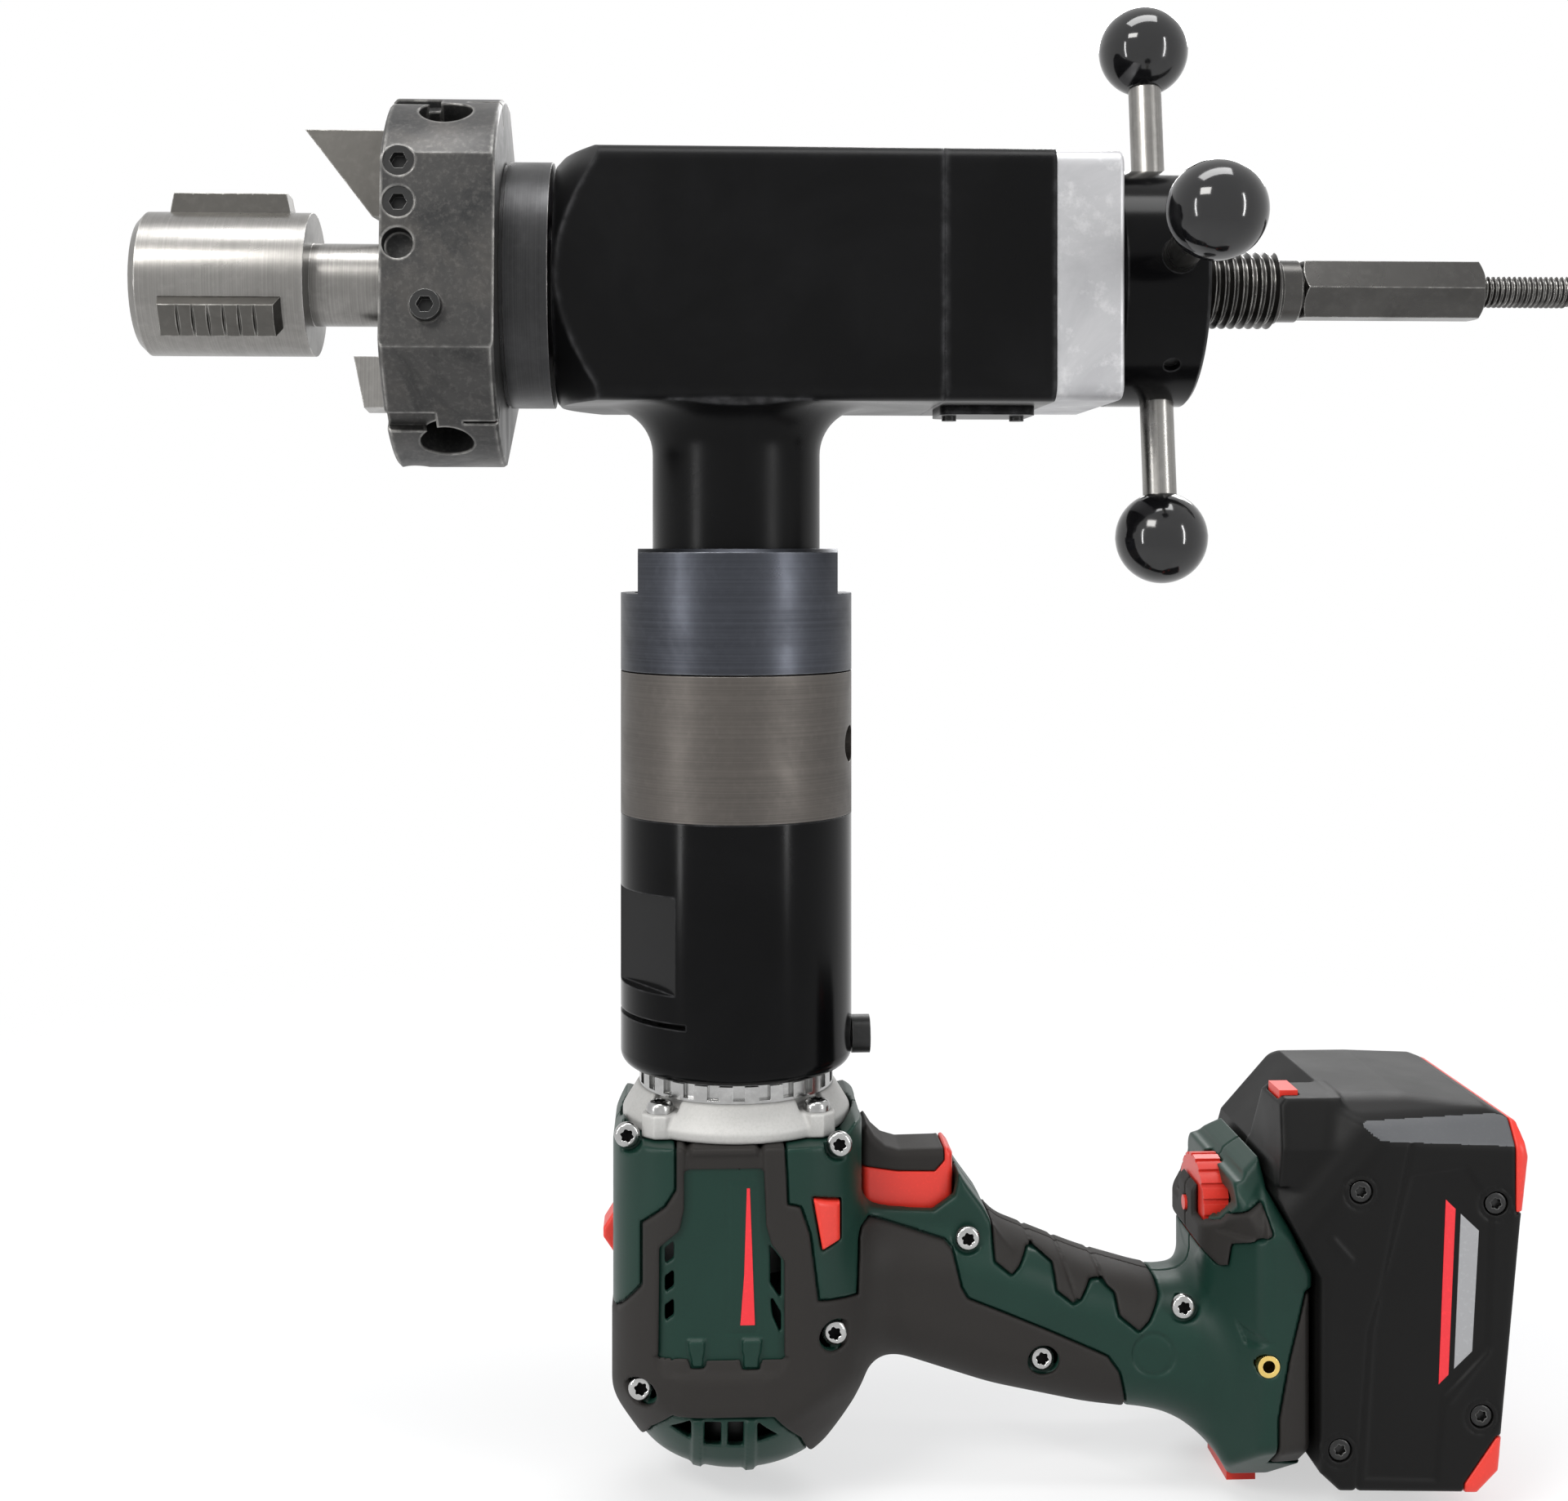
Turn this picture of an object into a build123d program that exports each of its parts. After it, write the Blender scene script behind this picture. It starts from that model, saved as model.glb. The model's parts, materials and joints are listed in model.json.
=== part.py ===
from build123d import *
import os
from math import atan, cos, hypot, pi, radians, sin, sqrt, tan

# Pipe beveling machine, in millimetres, with +Z up.
# The X axis is the mandrel axis, pointing away from the pipe. The pipe's end face lies at X = 0.
# The drive column hangs down from the mandrel axis, and the cordless drill hangs from the column.

# Pipe that the machine is set up for
PIPE_BORE_RADIUS = 24.6
BEVEL_ANGLE = 37.5

# Clearances
RUN = 0.06
FREE = 0.3
SEAT = 0.05
OVERRUN = 5.0

# Column
COLUMN_X = 103.0
COLUMN_RADIUS = 31.75

# Mandrel
CAGE_FRONT_X = -58.0
CAGE_REAR_X = -12.0
CAGE_RADIUS = 19.5
CAGE_BORE = 13.2
CAGE_FLOOR = 3.0
CAGE_CHAMFER = 2.0
SHANK_RADIUS = 11.25
SCREW_RADIUS = 10.75
SCREW_START_X = 193.0
SCREW_END_X = 253.5
SCREW_CHAMFER = 0.8
ROD_RADIUS = 4.5
ROD_END_X = 337.0
ROD_CHAMFER = 1.0
KEYWAY_WIDTH = 5.0
KEYWAY_DEPTH = 2.4
FEED_FORWARD = 8.0
FEED_BACK = 20.0

# Jaws and their ramps
JAW_COUNT = 3
JAW_WIDTH = 9.0
JAW_FRONT_X = -50.0
JAW_REAR_X = -18.0
JAW_TEETH = 7
JAW_TOOTH_DEPTH = 0.7
JAW_BEVEL = 2.0
RAMP_ANGLE = 10.0
RAMP_LOW = 7.5
RAMP_NECK_WIDTH = 3.4
RAMP_NECK_DEPTH = 1.5
RAMP_FOOT_WIDTH = 5.6
RAMP_FOOT_DEPTH = 1.8
ROD_TRAVEL = 11.6

# Draw nut and thrust collar
COLLAR_RADIUS = 8.8
COLLAR_LENGTH = 6.0
NUT_FLATS = 15.6
NUT_LENGTH = 51.0
NUT_CHAMFER = 1.2

# Cutter head
HEAD_FRONT_X = 11.5
HEAD_WIDTH = 29.0
HEAD_RADIUS = 50.0
HEAD_FLAT = 43.3
HEAD_EDGE = 0.8
STATION_COUNT = 3
FLAT_ANGLE = 5.0
SCREW_HOLE_RADIUS = 4.0
SCREW_HOLE_DEPTH = 5.0
BLADE_SCREW_X = 4.6
BLADE_SCREW_PITCH = 10.7
BLADE_SCREW_TOP = 23.0
TOOL_SCREW_X = 12.0
TOOL_SCREW_DROP = 14.6
TOOL_SCREW_RADIUS = 3.9
TOOL_SCREW_PROUD = 2.7
SOCKET_DEPTH_SHARE = 0.8
KEYHOLE_ANGLE = 67.0
KEYHOLE_RADIUS = 7.0
KEYHOLE_X = 15.0
KEYHOLE_DEPTH = 14.0
SLOT_ANGLE = 57.0
SLOT_WIDTH = 7.0
SLOT_DEPTH = 11.0
SLOT_LENGTH = 13.0
WEDGE_DROP = 2.2
BACK_SLIT_WIDTH = 1.2
BACK_SLIT_DEPTH = 9.0

# Tools
BLADE_THICKNESS = 5.0
BLADE_TIP_X = -15.0
BLADE_TIP_RADIUS = 42.7
BLADE_FOOT_RADIUS = 18.5
BLADE_SEAT = 14.0
BLADE_RELIEF = 1.3
FACER_INNER = 20.5
FACER_OUTER = 34.5
FACER_TIP_X = -0.6
FACER_WIDTH = 9.5
FACER_RELIEF = 12.0

# Cutter spindle
SPINDLE_FLANGE_RADIUS = 33.5
SPINDLE_FLANGE_LENGTH = 12.7
SPINDLE_GROOVE = 0.8
SPINDLE_GROOVE_WIDTH = 1.0
SPINDLE_BORE = SHANK_RADIUS + 0.25
SPINDLE_JOURNAL = 19.5
SPINDLE_BODY = 16.5
SPINDLE_JOURNAL_END_X = 84.0
SPINDLE_END_X = 181.0
HEAD_SPIGOT_RADIUS = 24.0
HEAD_SPIGOT_LENGTH = 4.0
HEAD_SCREW_CIRCLE = 27.8
HEAD_SCREW_RADIUS = 3.0
HEAD_SCREW_HEAD = 4.5
HEAD_SCREW_REACH = 9.0
HEAD_SCREW_ANGLE = 30.0 - FLAT_ANGLE
BUSH_WALL = 3.0
FRONT_BUSH_LENGTH = 26.0
REAR_BUSH_LENGTH = 17.0
REAR_BUSH_START_X = 158.0
LOCK_NUT_LENGTH = 5.0
LOCK_NUT_RADIUS = 21.0
LOCK_NUT_NOTCHES = 4
LOCK_NUT_FIRST_ANGLE = 45.0

# Bevel gears
GEAR_TEETH = 32
PINION_TEETH = 16
BEVEL_MODULE = 1.625
BEVEL_FACE = 8.0
BEVEL_BACKLASH = 0.16
BEVEL_HEIGHT_SHARES = [-1.2, -0.7, -0.1, 0.5, 0.95]
GEAR_HUB_LENGTH = 13.0
PINION_HUB_LENGTH = 7.0
PINION_SHAFT_RADIUS = 7.0

# Housings
HOUSING_HALF = 33.3
HOUSING_EDGE = 4.5
HOUSING_FRONT_X = 54.3
HOUSING_SEAM_X = 156.7
HOUSING_REAR_X = 186.0
HOUSING_NOSE_RADIUS = 32.4
HOUSING_NOSE_ANGLE = 47.0
GEAR_ROOM_RADIUS = 28.8
GEAR_ROOM_START_X = 86.0
PLATE_LENGTH = 18.0
PLATE_INSET = 0.4
PLATE_EDGE = 1.2
NECK_RADIUS = 23.0
NECK_FILLET = 13.0
NECK_END_Z = -86.0
NECK_BORE = 15.0
NECK_STEP_Z = -50.0
NECK_LOWER_BORE = 10.0
COVER_LENGTH = 26.0
COVER_WIDTH = 22.0
COVER_THICKNESS = 2.2
COVER_CORNER = 3.3
COVER_SCREW_REACH = 9.4
COVER_SCREW_RADIUS = 2.0
COVER_SCREW_HEIGHT = 1.2
REAR_SCREW_RADIUS = 4.2
REAR_SCREW_SPACING = 50.0
REAR_SCREW_DEPTH = 5.0
REAR_SOCKET_DEPTH = 2.9

# Feed hub
HUB_RADIUS = 32.5
HUB_LENGTH = 23.0
HUB_CHAMFER = 0.8
ARM_COUNT = 4
ARM_TILT = 9.0
ARM_RADIUS = 4.6
ARM_PLANE = 14.5
ARM_ROOT = 25.5
KNOB_RADIUS = 12.7
KNOB_CENTRE = 69.7
KNOB_FLAT = 4.0
HUB_SCREW_RADIUS = 2.2
HUB_SCREW_ANGLE = -45.0

# Union nut and ring gear housing
UNION_TOP_Z = -72.0
UNION_BOTTOM_Z = -105.0
UNION_FLATS = 53.5
UNION_FLAT_HEIGHT = 12.0
UNION_LIP = 5.0
UNION_CHAMFER = 1.0
UNION_BORE = 28.0
RETAINER_RADIUS = 26.5
RETAINER_DEPTH = 1.5
RETAINER_HEIGHT = 3.0
RING_TOP_Z = -105.4
RING_BOTTOM_Z = -144.0
RING_WEB = 6.6
RING_TEETH = 45
SUN_TEETH = 15
PLANET_TEETH = 15
PLANET_COUNT = 3
FIRST_PLANET_ANGLE = 90.0
PLANET_MODULE = 1.0
PLANET_BACKLASH = 0.1
PRESSURE_ANGLE = 20.0
SPUR_DEDENDUM_SHARE = 1.25
BASE_START_SHARE = 1.001
PLANET_LENGTH = 13.0
PLANET_PIN_RADIUS = 2.5
CARRIER_RADIUS = 20.0
CARRIER_THICKNESS = 4.5
SPANNER_HOLE_RADIUS = 5.0
SPANNER_HOLE_DEPTH = 5.0
SPANNER_HOLE_DROP = 19.6
SPANNER_HOLE_ANGLE = -15.0
SUN_SHAFT_RADIUS = 5.0

# Adapter housing
ADAPTER_TOP_Z = -144.1
ADAPTER_BOTTOM_Z = -212.8
ADAPTER_EDGE = 4.0
ADAPTER_WEB = 11.0
ADAPTER_BORE = 22.0
ADAPTER_FLAT = 28.0
ADAPTER_FLAT_ANGLE = 210.0
ADAPTER_FLAT_TOP_Z = -163.7
ADAPTER_FLAT_BOTTOM_Z = -189.5
ADAPTER_SLIT_Z = -197.5
ADAPTER_SLIT = 1.4
ADAPTER_SLIT_OFFSET = 14.0
LOCK_SCREW_Z = -206.0
LOCK_SCREW_RADIUS = 5.2
LOCK_SCREW_HEIGHT = 5.0
LOCK_SCREW_SHANK = 3.0

# Drill nose
GEARCASE_SPIGOT = 21.7
GEARCASE_SPIGOT_TOP_Z = -160.0
FLANGE_TOP_Z = -218.0
FLANGE_BOTTOM_Z = -227.4
FLANGE_SHOULDER_Z = -225.0
FLANGE_TOP_RADIUS = 27.0
FLANGE_RADIUS = 31.4
FLANGE_LUG_RADIUS = 4.6
FLANGE_LUG_CIRCLE = 29.4
FLANGE_LUG_COUNT = 4
FLANGE_LUG_FIRST_ANGLE = 45.0
FLANGE_LUG_HEIGHT = 6.2
FLANGE_SCREW_RADIUS = 3.6
FLANGE_SCREW_HEIGHT = 3.0
NOSE_RING_RADIUS = 26.6
NOSE_RING_HEIGHT = 4.4
NOSE_RING_NOTCHES = 24
NOSE_RING_NOTCH_WIDTH = 3.2
NOSE_RING_NOTCH_DEPTH = 1.4
DRILL_SPINDLE_RADIUS = 8.0
DRILL_SPINDLE_TOP_Z = -176.0
DRILL_SPINDLE_BOTTOM_Z = -226.0
SHAFT_HEX = 10.0
SHAFT_HEX_LENGTH = 22.0

# Drill body
BARREL_HALF = 33.4
BARREL_CORNER = 20.0
BARREL_TOP_Z = -227.8
BARREL_EAR_HEIGHT = 7.3
BARREL_MARK_Z = -235.9
BARREL_END_Z = -323.6
SHELL_WALL = 2.8
SKIN = 1.5
MOTOR_RADIUS = 24.0
MOTOR_LENGTH = 48.0
MOTOR_TOP_GAP = 36.0
MOTOR_SHAFT_RADIUS = 2.5
SHELL_SCREW_RADIUS = 3.4
INSERT_RADIUS = 2.9
INSERT_BORE = 1.65
INSERT_LENGTH = 8.0
INSERT_X = 241.9
INSERT_Z = -286.7
INSERT_BOSS = 5.0

# Barrel end, as radius and height above the end in shares of the barrel's half width
BARREL_PROFILE_SHARES = [(1.42, 1.42), (0.98, 0.68), (0.88, 0.46), (0.745, 0.27), (0.43, 0.0)]

# Handle stations, as shares of the handle length, its depth and its half width:
# distance along the handle, top, bottom, half width
HANDLE_START_X = 126.0
HANDLE_LENGTH = 112.0
HANDLE_TOP_Z = -246.0
HANDLE_DEPTH = 44.0
HANDLE_HALF = 17.0
HANDLE_SHARES = [
    (0.00, 0.02, 1.20, 1.45), (0.17, 0.10, 1.02, 1.08), (0.41, 0.23, 1.24, 1.00),
    (0.64, 0.47, 1.37, 1.02), (0.84, 0.62, 1.43, 1.12), (1.00, 0.53, 1.70, 1.42)]
HANDLE_ROUND = 0.86

# Soft overmould outlines: barrel points in shares of its half width from the middle of its mark,
# handle points in shares of the handle's length and depth from the start of its top
BARREL_SOFT_SHARES = [
    (-0.50, 0.16), (-0.50, -0.06), (-0.57, -0.20), (-0.75, -0.36), (-0.75, -0.84), (-1.20, -1.14),
    (-1.20, -3.00), (1.24, -3.00), (1.24, -0.80), (0.94, -0.92), (0.61, -0.98), (0.55, -0.44),
    (0.47, -0.22), (0.38, -0.19), (0.35, 0.16)]
PANEL_BARE_SHARES = [
    (-0.41, 0.06), (-0.41, -0.22), (-0.45, -0.38), (-0.60, -0.52), (-0.61, -1.36), (0.33, -1.37),
    (0.33, -0.63), (0.24, -0.50), (0.20, -0.35), (0.18, 0.06)]
CAP_BARE_SHARES = [(-0.42, -1.92), (0.28, -1.92), (0.36, -3.20), (-0.52, -3.20)]
PALM_SOFT_SHARES = [
    (0.07, 0.16), (0.10, 0.11), (0.30, 0.28), (0.32, 0.49), (0.36, 0.61), (0.69, 0.97), (0.73, 1.25),
    (0.74, 1.90), (0.00, 1.90), (0.00, 0.40)]
FINGER_SOFT_SHARES = [
    (0.40, -0.20), (0.40, 0.33), (0.44, 0.44), (0.48, 0.36), (0.55, 0.46), (0.56, 0.54), (0.60, 0.63),
    (0.64, 0.55), (0.70, 0.64), (0.71, 0.72), (0.75, 0.79), (0.81, 0.66), (0.83, -0.20)]

# Side vents as shares of the barrel's half width: left, right, top of the first slot, number of slots
VENT_SHARES = [(-0.57, -0.50, -0.49, 3), (0.25, 0.32, -0.66, 2), (-0.34, 0.20, -1.98, 1)]
VENT_PITCH_SHARE = 0.24
VENT_HEIGHT_SHARE = 0.17

# Shell screws: place along and down in shares, then the depth of the seat in shares of the half width
BARREL_SCREW_SHARES = [(-0.88, 0.28, 0.68), (0.79, 0.22, 0.80), (0.75, -1.26, 0.80), (-0.77, -1.70, 0.72)]
HANDLE_SCREW_SHARES = [(0.35, 0.28, 0.80), (0.53, 1.02, 0.80), (0.87, 0.70, 0.96)]

# Foot between the handle and the battery
FOOT_X = 229.0
FOOT_HALF = 34.0
FOOT_TOP_Z = -223.0
FOOT_BOTTOM_Z = -324.0
FOOT_REAR_X = 254.0
FOOT_EDGE = 7.0
FOOT_NOTCH_X = 244.0
FOOT_SHOULDER_X = 241.0
FOOT_SHOULDER_Z = -243.0
FOOT_KNEE_Z = -262.5

# Battery
BATTERY_GAP = 0.4
BATTERY_HALF = 38.0
BATTERY_TOP_Z = -217.5
BATTERY_BOTTOM_Z = -319.5
BATTERY_REAR_X = 310.0
BATTERY_EDGE = 6.0
BATTERY_SLOPE = 8.0
BATTERY_TAPER = 8.0
BUMPER_DEPTH = 2.0
GAUGE_X = 250.0
GAUGE_Y = -19.0
GAUGE_WIDTH = 5.0
GAUGE_LENGTH = 10.0
GAUGE_TRAVEL = 0.8
BATTERY_SCREW_RADIUS = 2.8
BATTERY_SCREW_SINK = 1.0
BUMPER_LENGTH = 28.0

# Battery screws as shares of the case's length past the foot and of its height
BATTERY_SCREW_SHARES = [(0.20, 0.78), (0.84, 0.745), (0.77, 0.20), (0.10, 0.12)]

# Controls
TRIGGER_FRONT_X = 136.6
TRIGGER_LENGTH = 25.6
TRIGGER_TOP_Z = -233.5
TRIGGER_HEIGHT = 24.0
TRIGGER_HALF = 8.5
TRIGGER_TRAVEL = 8.0
PAD_DEPTH = 8.0
PAD_SKIN = 1.2
REVERSER_X = 122.2
REVERSER_Z = -241.2
REVERSER_WIDTH = 7.2
REVERSER_HEIGHT = 13.5
REVERSER_PROUD = 1.6
SELECTOR_TRAVEL = 4.0
SELECTOR_Z = -258.0
SELECTOR_LENGTH = 13.0
SELECTOR_WIDTH = 12.0
SELECTOR_PROUD = 3.4
WHEEL_X = 230.0
WHEEL_WIDTH = 7.0
WHEEL_RADIUS = 13.5
WHEEL_Z = -254.0
WHEEL_RIBS = 20
WHEEL_RIB_DEPTH = 0.7
WHEEL_PIN_RADIUS = 2.0
RELEASE_X = 241.0
RELEASE_WIDTH = 8.0
RELEASE_HALF = 10.0
RELEASE_PROUD = 3.0
WEB_THICKNESS = 2.5

# Battery rail
RAIL_DEPTH = 6.0
RAIL_HALF = 20.0
RAIL_LIP = 4.0
RAIL_LIFT = 12.0

HEAD_REAR_X = HEAD_FRONT_X + HEAD_WIDTH
PLATE_FRONT_X = HOUSING_REAR_X
PLATE_REAR_X = PLATE_FRONT_X + PLATE_LENGTH
HUB_FRONT_X = PLATE_REAR_X + FREE
HUB_REAR_X = HUB_FRONT_X + HUB_LENGTH
NUT_START_X = SCREW_END_X + COLLAR_LENGTH
LOW = (Align.CENTER, Align.CENTER, Align.MIN)
BEVEL_DEPTH = -BEVEL_MODULE * BEVEL_HEIGHT_SHARES[0]
PITCH_CONE = BEVEL_MODULE * hypot(GEAR_TEETH, PINION_TEETH) / 2


def cylinder_x(start, end, radius):
    """Solid cylinder along the mandrel axis."""
    return Pos(start, 0, 0) * Rot(0, 90, 0) * Cylinder(radius, end - start, align=LOW)


def cylinder_z(low, high, radius, x=COLUMN_X, y=0.0):
    """Solid cylinder along Z."""
    return Pos(x, y, low) * Cylinder(radius, high - low, align=LOW)


def out_from_column(start, end, radius, z):
    """Solid cylinder that points away from the column along +X, from start to end of its axis."""
    return Pos(COLUMN_X, 0, z) * cylinder_x(start, end, radius)


def cylinder_y(low, high, radius, x, z):
    """Solid cylinder along Y."""
    return Pos(x, low, z) * Rot(-90, 0, 0) * Cylinder(radius, high - low, align=LOW)


def block(x_low, x_high, y_low, y_high, z_low, z_high):
    """Box from its two corners."""
    size = (x_high - x_low, y_high - y_low, z_high - z_low)
    return Pos(x_low, y_low, z_low) * Box(*size, align=(Align.MIN, Align.MIN, Align.MIN))


def turned_x(points):
    """Solid of revolution about the mandrel axis, from (x, radius) points."""
    face = make_face(Polyline([(x, 0, r) for x, r in points], close=True))
    return revolve(face, Axis.X)


def turned_z(points, x=COLUMN_X):
    """Solid of revolution about a vertical axis, from (radius, z) points."""
    face = make_face(Polyline([(r, 0, z) for r, z in points], close=True))
    return Pos(x, 0, 0) * revolve(face, Axis.Z)


def side_plate(points, y_low, y_high):
    """Outline of (x, z) points, extruded from y_low to y_high."""
    face = make_face(Polyline([(x, y_low, z) for x, z in points], close=True))
    return extrude(face, y_high - y_low, dir=(0, 1, 0))


def around_x(solid, count, first=0.0):
    """Copies of a solid about the mandrel axis."""
    return [Rot(first + turn * 360 / count, 0, 0) * solid for turn in range(count)]


def around_column(solid, count, first=0.0):
    """Copies of a solid about the column axis, the solid given about Z at the origin."""
    return [Pos(COLUMN_X, 0, 0) * Rot(0, 0, first + turn * 360 / count) * solid for turn in range(count)]


def keep(name, *solids):
    """Writes one node to its STEP file."""
    flat = []
    for item in solids:
        flat += item if isinstance(item, list) else [item]
    if len(flat) > 1:
        flat = [Compound(children=[solid for one in flat for solid in one.solids()])]
    export_step(flat[0], f"parts/{name}.step")


# Mandrel

def ramp_height(x):
    """Height of the draw rod's ramp above the mandrel axis."""
    return RAMP_LOW + (JAW_REAR_X - x) * tan(radians(RAMP_ANGLE))


def ramp_tee(clearance, front, rear, top):
    """Inclined T section that joins a jaw to its ramp, running from front to rear."""
    neck = RAMP_NECK_WIDTH / 2 + clearance
    foot = RAMP_FOOT_WIDTH / 2 + clearance
    under = -RAMP_NECK_DEPTH + clearance
    bottom = -RAMP_NECK_DEPTH - RAMP_FOOT_DEPTH - clearance
    points = [(-neck, top), (neck, top), (neck, under), (foot, under), (foot, bottom),
              (-foot, bottom), (-foot, under), (-neck, under)]
    start = ramp_height(rear)
    face = make_face(Polyline([(rear, y, start + z) for y, z in points], close=True))
    run = rear - front
    return extrude(face, hypot(run, ramp_height(front) - start), dir=(-run, 0, ramp_height(front) - start))


def mandrel_body():
    outline = [(CAGE_FRONT_X, 0), (CAGE_FRONT_X, CAGE_RADIUS - CAGE_CHAMFER),
               (CAGE_FRONT_X + CAGE_CHAMFER, CAGE_RADIUS), (CAGE_REAR_X, CAGE_RADIUS),
               (CAGE_REAR_X, SHANK_RADIUS), (SCREW_START_X, SHANK_RADIUS), (SCREW_START_X, SCREW_RADIUS),
               (SCREW_END_X - SCREW_CHAMFER, SCREW_RADIUS), (SCREW_END_X, SCREW_RADIUS - SCREW_CHAMFER),
               (SCREW_END_X, 0)]
    body = turned_x(outline)
    body -= cylinder_x(CAGE_FRONT_X - OVERRUN, CAGE_REAR_X - CAGE_FLOOR, CAGE_BORE)
    body -= cylinder_x(CAGE_FRONT_X, SCREW_END_X + OVERRUN, ROD_RADIUS + SEAT)
    window = block(JAW_FRONT_X - SEAT, JAW_REAR_X + SEAT, -JAW_WIDTH / 2 - SEAT, JAW_WIDTH / 2 + SEAT,
                   0, CAGE_RADIUS + OVERRUN)
    for slot in around_x(window, JAW_COUNT):
        body -= slot
    keyway_start = PLATE_FRONT_X - FEED_FORWARD - KEYWAY_DEPTH
    keyway_end = PLATE_REAR_X + FEED_BACK
    body -= block(keyway_start, keyway_end, -KEYWAY_WIDTH / 2, KEYWAY_WIDTH / 2,
                  SHANK_RADIUS - KEYWAY_DEPTH, SHANK_RADIUS + OVERRUN)
    keep("mandrel_body", body)


def draw_rod():
    front = JAW_FRONT_X - CAGE_CHAMFER * 2
    core = turned_x([(front, 0), (front, CAGE_BORE - SEAT * 2), (JAW_REAR_X, CAGE_BORE - SEAT * 2),
                     (JAW_REAR_X, ROD_RADIUS), (ROD_END_X - ROD_CHAMFER, ROD_RADIUS),
                     (ROD_END_X, ROD_RADIUS - ROD_CHAMFER), (ROD_END_X, 0)])
    reach_front = front - OVERRUN
    reach_rear = JAW_REAR_X + OVERRUN
    above = [(reach_front, ramp_height(reach_front)), (reach_rear, ramp_height(reach_rear)),
             (reach_rear, CAGE_RADIUS), (reach_front, CAGE_RADIUS)]
    half = JAW_WIDTH / 2 + SEAT * 2
    cut = side_plate(above, -half, half) + ramp_tee(SEAT, reach_front, JAW_REAR_X, OVERRUN)
    for one in around_x(cut, JAW_COUNT):
        core -= one
    keep("draw_rod", core)


def clamp_jaws():
    low = SEAT
    outline = [(JAW_FRONT_X, ramp_height(JAW_FRONT_X) + low), (JAW_REAR_X, ramp_height(JAW_REAR_X) + low),
               (JAW_REAR_X, CAGE_RADIUS), (JAW_REAR_X - JAW_BEVEL, PIPE_BORE_RADIUS + OVERRUN),
               (JAW_FRONT_X + JAW_BEVEL, PIPE_BORE_RADIUS + OVERRUN), (JAW_FRONT_X, CAGE_RADIUS)]
    jaw = side_plate(outline, -JAW_WIDTH / 2, JAW_WIDTH / 2)
    jaw = jaw & cylinder_x(JAW_FRONT_X - OVERRUN, JAW_REAR_X + OVERRUN, PIPE_BORE_RADIUS)
    jaw += ramp_tee(0.0, JAW_FRONT_X, JAW_REAR_X - ROD_TRAVEL, RAMP_NECK_DEPTH)
    pitch = (JAW_REAR_X - JAW_FRONT_X - 2 * JAW_BEVEL) / JAW_TEETH
    for tooth in range(1, JAW_TEETH):
        middle = JAW_FRONT_X + JAW_BEVEL + tooth * pitch
        groove = [(middle - JAW_TOOTH_DEPTH, PIPE_BORE_RADIUS + JAW_TOOTH_DEPTH / 2),
                  (middle, PIPE_BORE_RADIUS - JAW_TOOTH_DEPTH),
                  (middle + JAW_TOOTH_DEPTH, PIPE_BORE_RADIUS + JAW_TOOTH_DEPTH / 2)]
        jaw -= side_plate(groove, -JAW_WIDTH, JAW_WIDTH)
    for number, one in enumerate(around_x(jaw, JAW_COUNT), 1):
        keep(f"clamp_jaw_{number}", one)


def hexagon_points(radius):
    """Corners of a hexagon about the origin, as pairs."""
    return [(radius * cos(radians(60 * turn)), radius * sin(radians(60 * turn))) for turn in range(6)]


def hexagon_x(start, end, flats, chamfer):
    """Hexagonal bar along X with both ends chamfered, its flats up and down."""
    radius = flats / sqrt(3)
    corners = [(start, y, z) for y, z in hexagon_points(radius)]
    bar = extrude(make_face(Polyline(corners, close=True)), end - start, dir=(1, 0, 0))
    small = flats / 2 - chamfer / 4
    large = radius + chamfer / 4
    trim = turned_x([(start, 0), (start, small), (start + chamfer, large), (end - chamfer, large),
                     (end, small), (end, 0)])
    return bar & trim


def hexagon_z(low, high, flats):
    """Hexagonal bar along the column axis."""
    corners = [(COLUMN_X + x, y, low) for x, y in hexagon_points(flats / sqrt(3))]
    return extrude(make_face(Polyline(corners, close=True)), high - low, dir=(0, 0, 1))


def draw_nut():
    nut = hexagon_x(NUT_START_X + SEAT, NUT_START_X + NUT_LENGTH, NUT_FLATS, NUT_CHAMFER)
    keep("draw_nut", nut - cylinder_x(SCREW_END_X, ROD_END_X, ROD_RADIUS + RUN))
    bore = ROD_RADIUS + FREE
    collar = turned_x([(SCREW_END_X, bore), (SCREW_END_X, COLLAR_RADIUS),
                       (NUT_START_X - SCREW_CHAMFER, COLLAR_RADIUS),
                       (NUT_START_X, COLLAR_RADIUS - SCREW_CHAMFER), (NUT_START_X, bore)])
    keep("thrust_collar", collar)


# Cutter head and its tools

def on_flat(solid):
    """Turns a solid made about the direction of -Y onto the first flat's direction."""
    return Rot(-FLAT_ANGLE, 0, 0) * solid


def blade_outline(clearance):
    """Blade seen along Y, with its tip forward and its cutting edge on the pipe side."""
    slope = tan(radians(BEVEL_ANGLE))
    foot_x = BLADE_TIP_X + (BLADE_TIP_RADIUS - BLADE_FOOT_RADIUS) * slope
    rear = HEAD_FRONT_X + BLADE_SEAT + clearance
    return [(BLADE_TIP_X, BLADE_TIP_RADIUS + clearance), (rear, BLADE_TIP_RADIUS + clearance),
            (rear, BLADE_FOOT_RADIUS - clearance), (foot_x, BLADE_FOOT_RADIUS - clearance)]


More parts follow.
